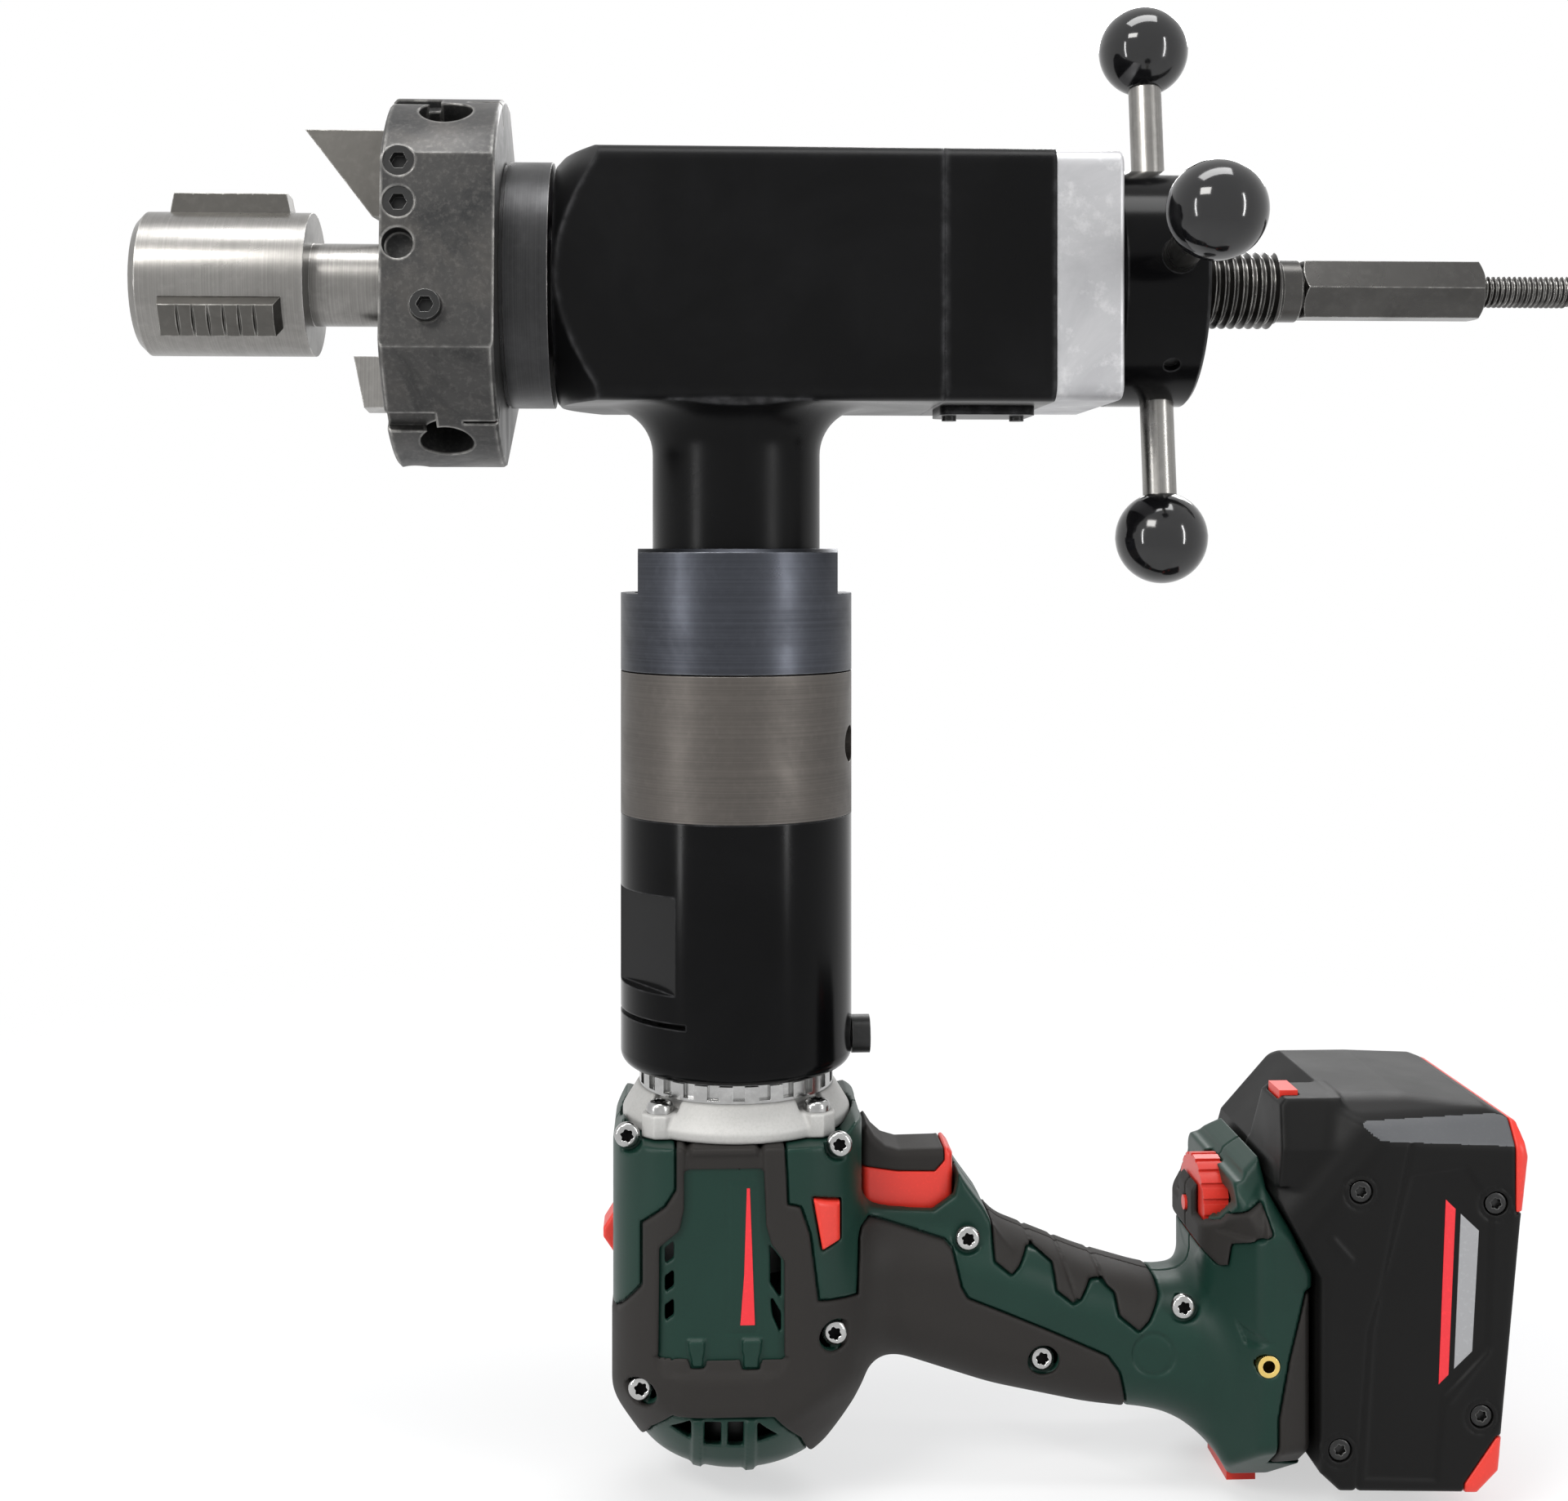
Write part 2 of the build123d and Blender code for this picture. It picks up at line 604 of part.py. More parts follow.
def cutter_head():
    rim = turned_x([(HEAD_FRONT_X, SPINDLE_BORE), (HEAD_FRONT_X, HEAD_RADIUS - HEAD_EDGE),
                    (HEAD_FRONT_X + HEAD_EDGE, HEAD_RADIUS), (HEAD_REAR_X - HEAD_EDGE, HEAD_RADIUS),
                    (HEAD_REAR_X, HEAD_RADIUS - HEAD_EDGE), (HEAD_REAR_X, HEAD_SPIGOT_RADIUS + SEAT),
                    (HEAD_REAR_X - HEAD_SPIGOT_LENGTH, HEAD_SPIGOT_RADIUS + SEAT),
                    (HEAD_REAR_X - HEAD_SPIGOT_LENGTH, SPINDLE_BORE)])
    head = rim
    reach = HEAD_RADIUS + OVERRUN
    station = block(HEAD_FRONT_X - OVERRUN, HEAD_REAR_X + OVERRUN, -reach, -HEAD_FLAT, -reach, reach)
    for turn in range(3):
        x = HEAD_FRONT_X + BLADE_SCREW_X
        z = BLADE_SCREW_TOP - turn * BLADE_SCREW_PITCH
        station += cylinder_y(-reach, -HEAD_FLAT + SCREW_HOLE_DEPTH, SCREW_HOLE_RADIUS, x, z)
    station += cylinder_y(-reach, -HEAD_FLAT + SCREW_HOLE_DEPTH, TOOL_SCREW_RADIUS,
                          HEAD_FRONT_X + TOOL_SCREW_X, -TOOL_SCREW_DROP)
    keyhole = cylinder_y(-reach, -HEAD_RADIUS + KEYHOLE_DEPTH, KEYHOLE_RADIUS, HEAD_FRONT_X + KEYHOLE_X, 0)
    slot = block(HEAD_FRONT_X - OVERRUN, HEAD_FRONT_X + SLOT_LENGTH, -reach, -HEAD_RADIUS + SLOT_DEPTH,
                 -SLOT_WIDTH / 2, SLOT_WIDTH / 2)
    slit = block(HEAD_REAR_X - BACK_SLIT_DEPTH, HEAD_REAR_X + OVERRUN, -reach, -HEAD_FLAT,
                 -BACK_SLIT_WIDTH / 2, BACK_SLIT_WIDTH / 2)
    station += Rot(KEYHOLE_ANGLE, 0, 0) * keyhole + Rot(SLOT_ANGLE, 0, 0) * (slot + slit)
    for cut in around_x(on_flat(station), STATION_COUNT):
        head -= cut
    half = BLADE_THICKNESS / 2
    pocket = side_plate(blade_outline(SEAT), -half - SEAT, half + SEAT)
    head -= on_flat(pocket)
    head -= on_flat(facer_solid(SEAT))
    for hole in around_x(head_screw_hole(), 3, HEAD_SCREW_ANGLE):
        head -= hole
    keep("cutter_head", head)


def head_screw_hole():
    shank = cylinder_x(HEAD_FRONT_X - OVERRUN, HEAD_REAR_X + OVERRUN, HEAD_SCREW_RADIUS + SEAT)
    seat = cylinder_x(HEAD_FRONT_X - OVERRUN, HEAD_FRONT_X + 2 * HEAD_SCREW_RADIUS, HEAD_SCREW_HEAD + SEAT)
    return Pos(0, 0, HEAD_SCREW_CIRCLE) * (shank + seat)


def head_screws():
    seat_x = HEAD_FRONT_X + 2 * HEAD_SCREW_RADIUS
    shank = cylinder_x(seat_x, HEAD_REAR_X + HEAD_SCREW_REACH, HEAD_SCREW_RADIUS)
    head = cylinder_x(HEAD_FRONT_X + FREE, seat_x, HEAD_SCREW_HEAD)
    socket = hexagon_x(HEAD_FRONT_X - OVERRUN, HEAD_FRONT_X + HEAD_SCREW_RADIUS, HEAD_SCREW_HEAD, SEAT)
    screw = Pos(0, 0, HEAD_SCREW_CIRCLE) * (shank + head - socket)
    keep("head_screws", around_x(screw, 3, HEAD_SCREW_ANGLE))


def bevel_blade():
    half = BLADE_THICKNESS / 2
    blade = side_plate(blade_outline(0.0), -half, half)
    slope = tan(radians(BEVEL_ANGLE))
    # The relief behind the cutting edge is ground along it.
    start = BLADE_TIP_X - OVERRUN
    top = BLADE_TIP_RADIUS + OVERRUN / slope
    edge = [(start, -half, top), (start, half, top), (start + BLADE_RELIEF, half, top)]
    wedge = extrude(make_face(Polyline(edge, close=True)), HEAD_RADIUS * 2, dir=(slope, 0, -1))
    blade -= wedge
    keep("bevel_blade", on_flat(blade))


def facer_solid(clearance):
    """Facing tool bit at the bottom of the head."""
    rear = HEAD_FRONT_X + SLOT_LENGTH + clearance
    rise = (FACER_OUTER - FACER_INNER) * tan(radians(FACER_RELIEF))
    outline = [(FACER_TIP_X, -FACER_INNER + clearance), (rear, -FACER_INNER + clearance),
               (rear, -FACER_OUTER - clearance), (FACER_TIP_X + rise, -FACER_OUTER - clearance)]
    return side_plate(outline, -FACER_WIDTH / 2 - clearance, FACER_WIDTH / 2 + clearance)


def facing_tool():
    tool = facer_solid(0.0)
    corner = [(FACER_TIP_X - SEAT, FACER_WIDTH / 2 + SEAT),
              (FACER_TIP_X + FACER_WIDTH / 3, FACER_WIDTH / 2 + SEAT), (FACER_TIP_X - SEAT, -FACER_WIDTH / 2)]
    face = make_face(Polyline([(x, y, -HEAD_RADIUS) for x, y in corner], close=True))
    tool -= extrude(face, HEAD_RADIUS, dir=(0, 0, 1))
    keep("facing_tool", on_flat(tool))


def socket_screw(x, z, top, radius, depth):
    """Socket screw set into a flat of the head, its axis along Y, with a hexagonal socket."""
    body = cylinder_y(-top, -HEAD_FLAT + depth, radius, x, z)
    corners = [(x + across, z + up) for across, up in hexagon_points(radius / sqrt(3))]
    return body - side_plate(corners, -top - OVERRUN, -top + radius * SOCKET_DEPTH_SHARE)


def tool_screws():
    x = HEAD_FRONT_X + BLADE_SCREW_X
    radius = SCREW_HOLE_RADIUS - SEAT
    clamp = []
    for turn in range(2):
        z = BLADE_SCREW_TOP - turn * BLADE_SCREW_PITCH
        clamp.append(on_flat(socket_screw(x, z, HEAD_FLAT - FREE, radius, SCREW_HOLE_DEPTH)))
    screw = socket_screw(HEAD_FRONT_X + TOOL_SCREW_X, -TOOL_SCREW_DROP, HEAD_FLAT + TOOL_SCREW_PROUD,
                         TOOL_SCREW_RADIUS - SEAT, SCREW_HOLE_DEPTH)
    keep("station_screws", clamp, around_x(on_flat(screw), STATION_COUNT))
    wedge_top = -HEAD_RADIUS + WEDGE_DROP
    half = SLOT_WIDTH / 2 - SEAT
    wedge = block(HEAD_FRONT_X + FREE, HEAD_FRONT_X + SLOT_LENGTH - SEAT,
                  wedge_top, -HEAD_RADIUS + SLOT_DEPTH, -half, half)
    keyhole = cylinder_y(-HEAD_RADIUS - OVERRUN, 0, KEYHOLE_RADIUS, HEAD_FRONT_X + KEYHOLE_X, 0)
    wedge = Rot(SLOT_ANGLE, 0, 0) * wedge - Rot(KEYHOLE_ANGLE, 0, 0) * keyhole
    keep("slot_wedges", around_x(on_flat(wedge), STATION_COUNT))


# Spindle, bushes and bevel gears

def cutter_spindle():
    flange_end = HEAD_REAR_X + SPINDLE_FLANGE_LENGTH
    groove = HEAD_REAR_X + SPINDLE_GROOVE_WIDTH
    spigot = HEAD_REAR_X - HEAD_SPIGOT_LENGTH
    spindle = turned_x([(spigot, SPINDLE_BORE), (spigot, HEAD_SPIGOT_RADIUS),
                        (HEAD_REAR_X, HEAD_SPIGOT_RADIUS),
                        (HEAD_REAR_X, SPINDLE_FLANGE_RADIUS - SPINDLE_GROOVE),
                        (groove, SPINDLE_FLANGE_RADIUS - SPINDLE_GROOVE), (groove, SPINDLE_FLANGE_RADIUS),
                        (flange_end, SPINDLE_FLANGE_RADIUS), (flange_end, SPINDLE_JOURNAL),
                        (SPINDLE_JOURNAL_END_X, SPINDLE_JOURNAL), (SPINDLE_JOURNAL_END_X, SPINDLE_BODY),
                        (SPINDLE_END_X, SPINDLE_BODY), (SPINDLE_END_X, SPINDLE_BORE)])
    hole = cylinder_x(HEAD_REAR_X - OVERRUN, HEAD_REAR_X + HEAD_SCREW_REACH + FREE, HEAD_SCREW_RADIUS + SEAT)
    for one in around_x(Pos(0, 0, HEAD_SCREW_CIRCLE) * hole, 3, HEAD_SCREW_ANGLE):
        spindle -= one
    keep("cutter_spindle", spindle)


def ring_x(start, end, outer, inner):
    return cylinder_x(start, end, outer) - cylinder_x(start - OVERRUN, end + OVERRUN, inner)


def ring_z(low, high, outer, inner):
    return cylinder_z(low, high, outer) - cylinder_z(low - OVERRUN, high + OVERRUN, inner)


def spindle_bushes():
    front = HOUSING_FRONT_X + FREE * 3
    keep("spindle_bushes",
         ring_x(front, front + FRONT_BUSH_LENGTH, SPINDLE_JOURNAL + BUSH_WALL, SPINDLE_JOURNAL + RUN),
         ring_x(REAR_BUSH_START_X, REAR_BUSH_START_X + REAR_BUSH_LENGTH, SPINDLE_BODY + BUSH_WALL,
                SPINDLE_BODY + RUN))
    start = REAR_BUSH_START_X + REAR_BUSH_LENGTH + FREE
    end = start + LOCK_NUT_LENGTH
    nut = ring_x(start, end, LOCK_NUT_RADIUS, SPINDLE_BODY)
    notch = block(start - OVERRUN, end + OVERRUN, -BUSH_WALL / 2, BUSH_WALL / 2,
                  LOCK_NUT_RADIUS - BUSH_WALL / 2, LOCK_NUT_RADIUS + OVERRUN)
    for one in around_x(notch, LOCK_NUT_NOTCHES, LOCK_NUT_FIRST_ANGLE):
        nut -= one
    keep("spindle_lock_nut", nut)


def involute(radius_base, radius):
    """Polar angle of an involute at the given radius."""
    ratio = max(radius / radius_base, 1.0)
    roll = sqrt(ratio * ratio - 1)
    return roll - atan(roll)


def tooth_outline(teeth, inner=False):
    """Closed outline of a planetary gear, as (x, y) points about the origin, a tooth centred on +X."""
    module = PLANET_MODULE
    backlash = PLANET_BACKLASH
    pitch_radius = module * teeth / 2
    base = pitch_radius * cos(radians(PRESSURE_ANGLE))
    if inner:
        tip = pitch_radius + module * SPUR_DEDENDUM_SHARE
        root = pitch_radius - module
    else:
        tip = pitch_radius + module
        root = pitch_radius - module * SPUR_DEDENDUM_SHARE
    half_pitch = pi / (2 * teeth) + (backlash if inner else -backlash) / (2 * pitch_radius)
    offset = half_pitch + involute(base, pitch_radius)
    low = max(root, base * BASE_START_SHARE)
    flank = [(low + (tip - low) * step / 3) for step in range(4)]
    points = []
    for number in range(teeth):
        middle = 2 * pi * number / teeth
        if root < low:
            points.append((root, middle - (offset - involute(base, low))))
        points += [(radius, middle - (offset - involute(base, radius))) for radius in flank]
        points += [(radius, middle + (offset - involute(base, radius))) for radius in reversed(flank)]
        if root < low:
            points.append((root, middle + (offset - involute(base, low))))
    return [(radius * cos(angle), radius * sin(angle)) for radius, angle in points]


def bevel_tooth_outline(teeth, mate):
    """Bevel teeth drawn as a spur profile on the back cone, seen along the gear's own axis."""
    cone = atan(teeth / mate)
    module = BEVEL_MODULE
    pitch_radius = module * teeth / 2
    points = []
    virtual = teeth / cos(cone)
    back = pitch_radius / cos(cone)
    base = back * cos(radians(PRESSURE_ANGLE))
    offset = pi / (2 * virtual) - BEVEL_BACKLASH / (2 * back) + involute(base, back)
    for number in range(teeth):
        middle = 2 * pi * (number + 0.5) / teeth
        side = []
        for share in BEVEL_HEIGHT_SHARES:
            radius = back + share * module
            angle = (offset - involute(base, radius)) * virtual / teeth
            side.append((share * module, angle))
        points += [(height, middle - angle) for height, angle in side]
        points += [(height, middle + angle) for height, angle in reversed(side)]
    return cone, pitch_radius, points


def bevel_rings(teeth, mate):
    """Large and small tooth outline of a bevel gear about +Z, its cone's tip at the origin."""
    cone, pitch_radius, outline = bevel_tooth_outline(teeth, mate)
    distance = pitch_radius / sin(cone)
    shares = [1.0, (distance - BEVEL_FACE) / distance]
    wires = []
    for share in shares:
        ring = []
        for height, angle in outline:
            radius = (pitch_radius + height * cos(cone)) * share
            depth = (distance * cos(cone) - height * sin(cone)) * share
            ring.append((radius * cos(angle), radius * sin(angle), -depth))
        wires.append(ring)
    return wires


def closed_teeth(rings):
    """Solid between the large and the small outline of a bevel gear, as flat and ruled faces."""
    large, small = rings
    count = len(large)
    faces = []
    for index in range(count):
        following = (index + 1) % count
        corners = [large[index], large[following], small[following], small[index]]
        faces.append(make_face(Polyline(corners[:3], close=True)))
        faces.append(make_face(Polyline([corners[0], corners[2], corners[3]], close=True)))
    for ring in rings:
        centre = (0, 0, min(point[2] for point in ring))
        for index in range(count):
            faces.append(make_face(Polyline([ring[index], ring[(index + 1) % count], centre], close=True)))
    return Solid(Shell(faces))


def bevel_gears():
    gear = closed_teeth(bevel_rings(GEAR_TEETH, PINION_TEETH))
    pitch_radius = BEVEL_MODULE * GEAR_TEETH / 2
    cone = atan(GEAR_TEETH / PINION_TEETH)
    rim = pitch_radius - BEVEL_DEPTH * cos(cone)
    # The gear's tooth side faces the pinion, and its back runs away from it along X.
    back_z = -(PITCH_CONE * cos(cone) + BEVEL_DEPTH * sin(cone))
    body = Pos(0, 0, back_z - GEAR_HUB_LENGTH) * Cylinder(rim, GEAR_HUB_LENGTH, align=LOW)
    gear = gear + body
    gear -= Pos(0, 0, back_z - GEAR_HUB_LENGTH - OVERRUN) * Cylinder(SPINDLE_BODY, PITCH_CONE * 2, align=LOW)
    keep("bevel_ring_gear", Pos(COLUMN_X, 0, 0) * Rot(0, -90, 0) * gear)

    pinion = closed_teeth(bevel_rings(PINION_TEETH, GEAR_TEETH))
    pinion_radius = BEVEL_MODULE * PINION_TEETH / 2
    cone = atan(PINION_TEETH / GEAR_TEETH)
    root = pinion_radius - BEVEL_DEPTH * cos(cone)
    hub_z = -(PITCH_CONE * cos(cone) + BEVEL_DEPTH * sin(cone))
    hub = Pos(0, 0, hub_z - PINION_HUB_LENGTH) * Cylinder(root, PINION_HUB_LENGTH, align=LOW)
    shaft_end = RING_TOP_Z - RING_WEB - FREE
    shaft = Pos(0, 0, shaft_end) * Cylinder(PINION_SHAFT_RADIUS, hub_z - shaft_end, align=LOW)
    turned = Rot(0, 0, 180 / PINION_TEETH) * (pinion + hub + shaft)
    keep("bevel_pinion", Pos(COLUMN_X, 0, 0) * turned)


# Housings

def square_bar(start, end, half, edge):
    """Square bar along the mandrel axis with rounded long edges."""
    face = Plane.YZ.offset(start) * RectangleRounded(2 * half, 2 * half, edge)
    return extrude(face, end - start, dir=(1, 0, 0))


def main_housing():
    bar = square_bar(HOUSING_FRONT_X, HOUSING_SEAM_X, HOUSING_HALF, HOUSING_EDGE)
    corner = HOUSING_HALF * sqrt(2)
    cone_end = HOUSING_FRONT_X + (corner - HOUSING_NOSE_RADIUS) / tan(radians(HOUSING_NOSE_ANGLE))
    bar = bar & turned_x([(HOUSING_FRONT_X, 0), (HOUSING_FRONT_X, HOUSING_NOSE_RADIUS), (cone_end, corner),
                          (HOUSING_SEAM_X, corner), (HOUSING_SEAM_X, 0)])
    wide = NECK_RADIUS + NECK_FILLET
    flare_low = -HOUSING_HALF - NECK_FILLET
    flare = cylinder_z(flare_low, -HOUSING_HALF + NECK_FILLET, wide)
    flare -= Pos(COLUMN_X, 0, flare_low) * Torus(wide, NECK_FILLET)
    room = block(COLUMN_X - COLUMN_RADIUS * 2, COLUMN_X + COLUMN_RADIUS * 2, -HOUSING_HALF + HOUSING_EDGE / 2,
                 HOUSING_HALF - HOUSING_EDGE / 2, UNION_BOTTOM_Z, 0)
    body = bar + (flare & room) + cylinder_z(NECK_END_Z, 0, NECK_RADIUS)
    body -= cylinder_x(HOUSING_FRONT_X - OVERRUN, HOUSING_SEAM_X, SPINDLE_JOURNAL + BUSH_WALL)
    body -= cylinder_x(GEAR_ROOM_START_X, HOUSING_SEAM_X + OVERRUN, GEAR_ROOM_RADIUS)
    body -= cylinder_z(NECK_STEP_Z, 0, NECK_BORE)
    body -= cylinder_z(NECK_END_Z - OVERRUN, 0, NECK_LOWER_BORE)
    groove_top = retainer_top()
    groove_radius = NECK_RADIUS - RETAINER_DEPTH
    body -= ring_z(groove_top - RETAINER_HEIGHT, groove_top, NECK_RADIUS + OVERRUN, groove_radius)
    keep("main_housing", body)


def retainer_top():
    return UNION_TOP_Z - UNION_LIP - SEAT


def rear_housing():
    body = square_bar(HOUSING_SEAM_X, HOUSING_REAR_X, HOUSING_HALF, HOUSING_EDGE)
    bush = SPINDLE_BODY + BUSH_WALL
    body -= cylinder_x(HOUSING_SEAM_X - OVERRUN, HOUSING_REAR_X + OVERRUN, bush)
    pocket_start = REAR_BUSH_START_X + REAR_BUSH_LENGTH
    body -= cylinder_x(pocket_start, HOUSING_REAR_X + OVERRUN, LOCK_NUT_RADIUS + 2 * FREE)
    keep("rear_housing", body)
    middle = (HOUSING_SEAM_X + HOUSING_REAR_X) / 2
    low = -HOUSING_HALF - COVER_THICKNESS
    plate = block(middle - COVER_LENGTH / 2, middle + COVER_LENGTH / 2, -COVER_WIDTH / 2, COVER_WIDTH / 2,
                  low, -HOUSING_HALF)
    plate = fillet(plate.edges().filter_by(Axis.Z), COVER_CORNER)
    screws = []
    for side in (-1, 1):
        x = middle + side * COVER_SCREW_REACH
        screws.append(cylinder_z(low - COVER_SCREW_HEIGHT, low, COVER_SCREW_RADIUS, x))
    keep("bottom_cover", plate)
    keep("cover_screws", screws)


def rear_plate():
    bar = square_bar(PLATE_FRONT_X, PLATE_REAR_X, HOUSING_HALF - PLATE_INSET, HOUSING_EDGE)
    rear = bar.faces().sort_by(Axis.X)[-1]
    bar = fillet(rear.edges(), PLATE_EDGE)
    bar -= cylinder_x(PLATE_FRONT_X - OVERRUN, PLATE_REAR_X + OVERRUN, SHANK_RADIUS + RUN)
    key_top = SHANK_RADIUS + KEYWAY_WIDTH
    bar -= block(PLATE_FRONT_X - OVERRUN, PLATE_REAR_X - KEYWAY_DEPTH, -KEYWAY_WIDTH / 2, KEYWAY_WIDTH / 2,
                 0, key_top)
    half = REAR_SCREW_SPACING / 2
    screws = []
    for y in (-half, half):
        for z in (-half, half):
            seat = PLATE_REAR_X - REAR_SCREW_DEPTH
            bar -= Pos(0, y, z) * cylinder_x(seat, PLATE_REAR_X + OVERRUN, REAR_SCREW_RADIUS + SEAT)
            socket = hexagon_x(PLATE_REAR_X - REAR_SOCKET_DEPTH, PLATE_REAR_X + OVERRUN,
                               REAR_SCREW_RADIUS, SEAT)
            screws.append(Pos(0, y, z) * (cylinder_x(seat, PLATE_REAR_X - FREE, REAR_SCREW_RADIUS) - socket))
    keep("rear_plate", bar)
    keep("rear_plate_screws", screws)
    key = block(PLATE_FRONT_X, PLATE_REAR_X - KEYWAY_DEPTH, -KEYWAY_WIDTH / 2 + SEAT, KEYWAY_WIDTH / 2 - SEAT,
                SHANK_RADIUS - KEYWAY_DEPTH + FREE, key_top)
    keep("feed_key", key)


# Feed hub

def feed_hub():
    hub = turned_x([(HUB_FRONT_X, SCREW_RADIUS + RUN), (HUB_FRONT_X, HUB_RADIUS - HUB_CHAMFER),
                    (HUB_FRONT_X + HUB_CHAMFER, HUB_RADIUS), (HUB_REAR_X - HUB_CHAMFER, HUB_RADIUS),
                    (HUB_REAR_X, HUB_RADIUS - HUB_CHAMFER), (HUB_REAR_X, SCREW_RADIUS + RUN)])
    arm_x = HUB_FRONT_X + ARM_PLANE
    rod = cylinder_z(ARM_ROOT, KNOB_CENTRE, ARM_RADIUS, arm_x)
    knob = Pos(arm_x, 0, KNOB_CENTRE) * Sphere(KNOB_RADIUS)
    base = KNOB_CENTRE - sqrt(KNOB_RADIUS ** 2 - KNOB_FLAT ** 2)
    knob -= block(arm_x - KNOB_RADIUS, arm_x + KNOB_RADIUS, -KNOB_RADIUS, KNOB_RADIUS,
                  KNOB_CENTRE - KNOB_RADIUS, base)
    knob -= cylinder_z(ARM_ROOT, KNOB_CENTRE, ARM_RADIUS, arm_x)
    hole = cylinder_z(ARM_ROOT, HUB_RADIUS + OVERRUN, ARM_RADIUS, arm_x)
    rods, knobs = [], []
    for number in range(ARM_COUNT):
        turn = Rot(number * 360 / ARM_COUNT - ARM_TILT, 0, 0)
        hub -= turn * hole
        rods.append(turn * rod)
        knobs.append(turn * knob)
    screw_x = HUB_FRONT_X + ARM_PLANE
    screw_hole = cylinder_z(SCREW_RADIUS + OVERRUN, HUB_RADIUS + OVERRUN, HUB_SCREW_RADIUS, screw_x)
    screw = cylinder_z(SCREW_RADIUS + OVERRUN, HUB_RADIUS - HUB_SCREW_RADIUS, HUB_SCREW_RADIUS, screw_x)
    turn = Rot(HUB_SCREW_ANGLE + 180, 0, 0)
    hub -= turn * screw_hole
    keep("feed_hub", hub)
    keep("hub_arms", rods)
    keep("ball_knobs", knobs)
    keep("hub_set_screw", turn * screw)


# Drive column

def union_nut():
    nut = turned_z([(NECK_RADIUS + FREE, UNION_TOP_Z), (COLUMN_RADIUS - UNION_CHAMFER, UNION_TOP_Z),
                    (COLUMN_RADIUS, UNION_TOP_Z - UNION_CHAMFER), (COLUMN_RADIUS, UNION_BOTTOM_Z),
                    (UNION_BORE, UNION_BOTTOM_Z), (UNION_BORE, UNION_TOP_Z - UNION_LIP),
                    (NECK_RADIUS + FREE, UNION_TOP_Z - UNION_LIP)])
    for side in (0, 180):
        wrench = block(UNION_FLATS / 2, COLUMN_RADIUS + OVERRUN, -COLUMN_RADIUS, COLUMN_RADIUS,
                       UNION_TOP_Z - UNION_FLAT_HEIGHT, UNION_TOP_Z + OVERRUN)
        nut -= Pos(COLUMN_X, 0, 0) * Rot(0, 0, side) * wrench
    keep("union_nut", nut)
    top = retainer_top()
    ring = ring_z(top - RETAINER_HEIGHT, top, RETAINER_RADIUS, NECK_RADIUS - RETAINER_DEPTH)
    gap = block(COLUMN_X - RETAINER_DEPTH, COLUMN_X + RETAINER_DEPTH, 0, COLUMN_RADIUS,
                top - RETAINER_HEIGHT - OVERRUN, top + OVERRUN)
    keep("union_retaining_ring", ring - gap)


def planet_place():
    """Distance of the planet axes from the column axis."""
    return PLANET_MODULE * (SUN_TEETH + PLANET_TEETH) / 2


def gear_top():
    """Upper end of the planet gears."""
    return RING_TOP_Z - RING_WEB - FREE * 2 - CARRIER_THICKNESS


def gear_prism(outline, low, high, angle=0.0):
    """Extruded gear outline about Z at the origin."""
    face = make_face(Polyline([(x, y, low) for x, y in outline], close=True))
    return Rot(0, 0, angle) * extrude(face, high - low, dir=(0, 0, 1))


def ring_gear_housing():
    body = turned_z([(NECK_LOWER_BORE, NECK_END_Z - SEAT),
                     (UNION_BORE - SEAT, NECK_END_Z - SEAT), (UNION_BORE - SEAT, RING_TOP_Z),
                     (COLUMN_RADIUS, RING_TOP_Z), (COLUMN_RADIUS, RING_BOTTOM_Z),
                     (NECK_LOWER_BORE, RING_BOTTOM_Z)])
    room_top = RING_TOP_Z - RING_WEB
    low = gear_top() - PLANET_LENGTH - FREE
    root_radius = PLANET_MODULE * (RING_TEETH / 2 + SPUR_DEDENDUM_SHARE)
    body -= cylinder_z(RING_BOTTOM_Z - OVERRUN, low, root_radius + FREE)
    body -= cylinder_z(gear_top() + FREE / 2, room_top, root_radius + FREE)
    teeth = gear_prism(tooth_outline(RING_TEETH, inner=True), low - FREE, gear_top() + FREE)
    body -= Pos(COLUMN_X, 0, 0) * teeth
    hole = out_from_column(COLUMN_RADIUS - SPANNER_HOLE_DEPTH, COLUMN_RADIUS + OVERRUN, SPANNER_HOLE_RADIUS,
                           RING_TOP_Z - SPANNER_HOLE_DROP)
    body -= Pos(COLUMN_X, 0, 0) * Rot(0, 0, SPANNER_HOLE_ANGLE) * Pos(-COLUMN_X, 0, 0) * hole
    keep("ring_gear_housing", body)


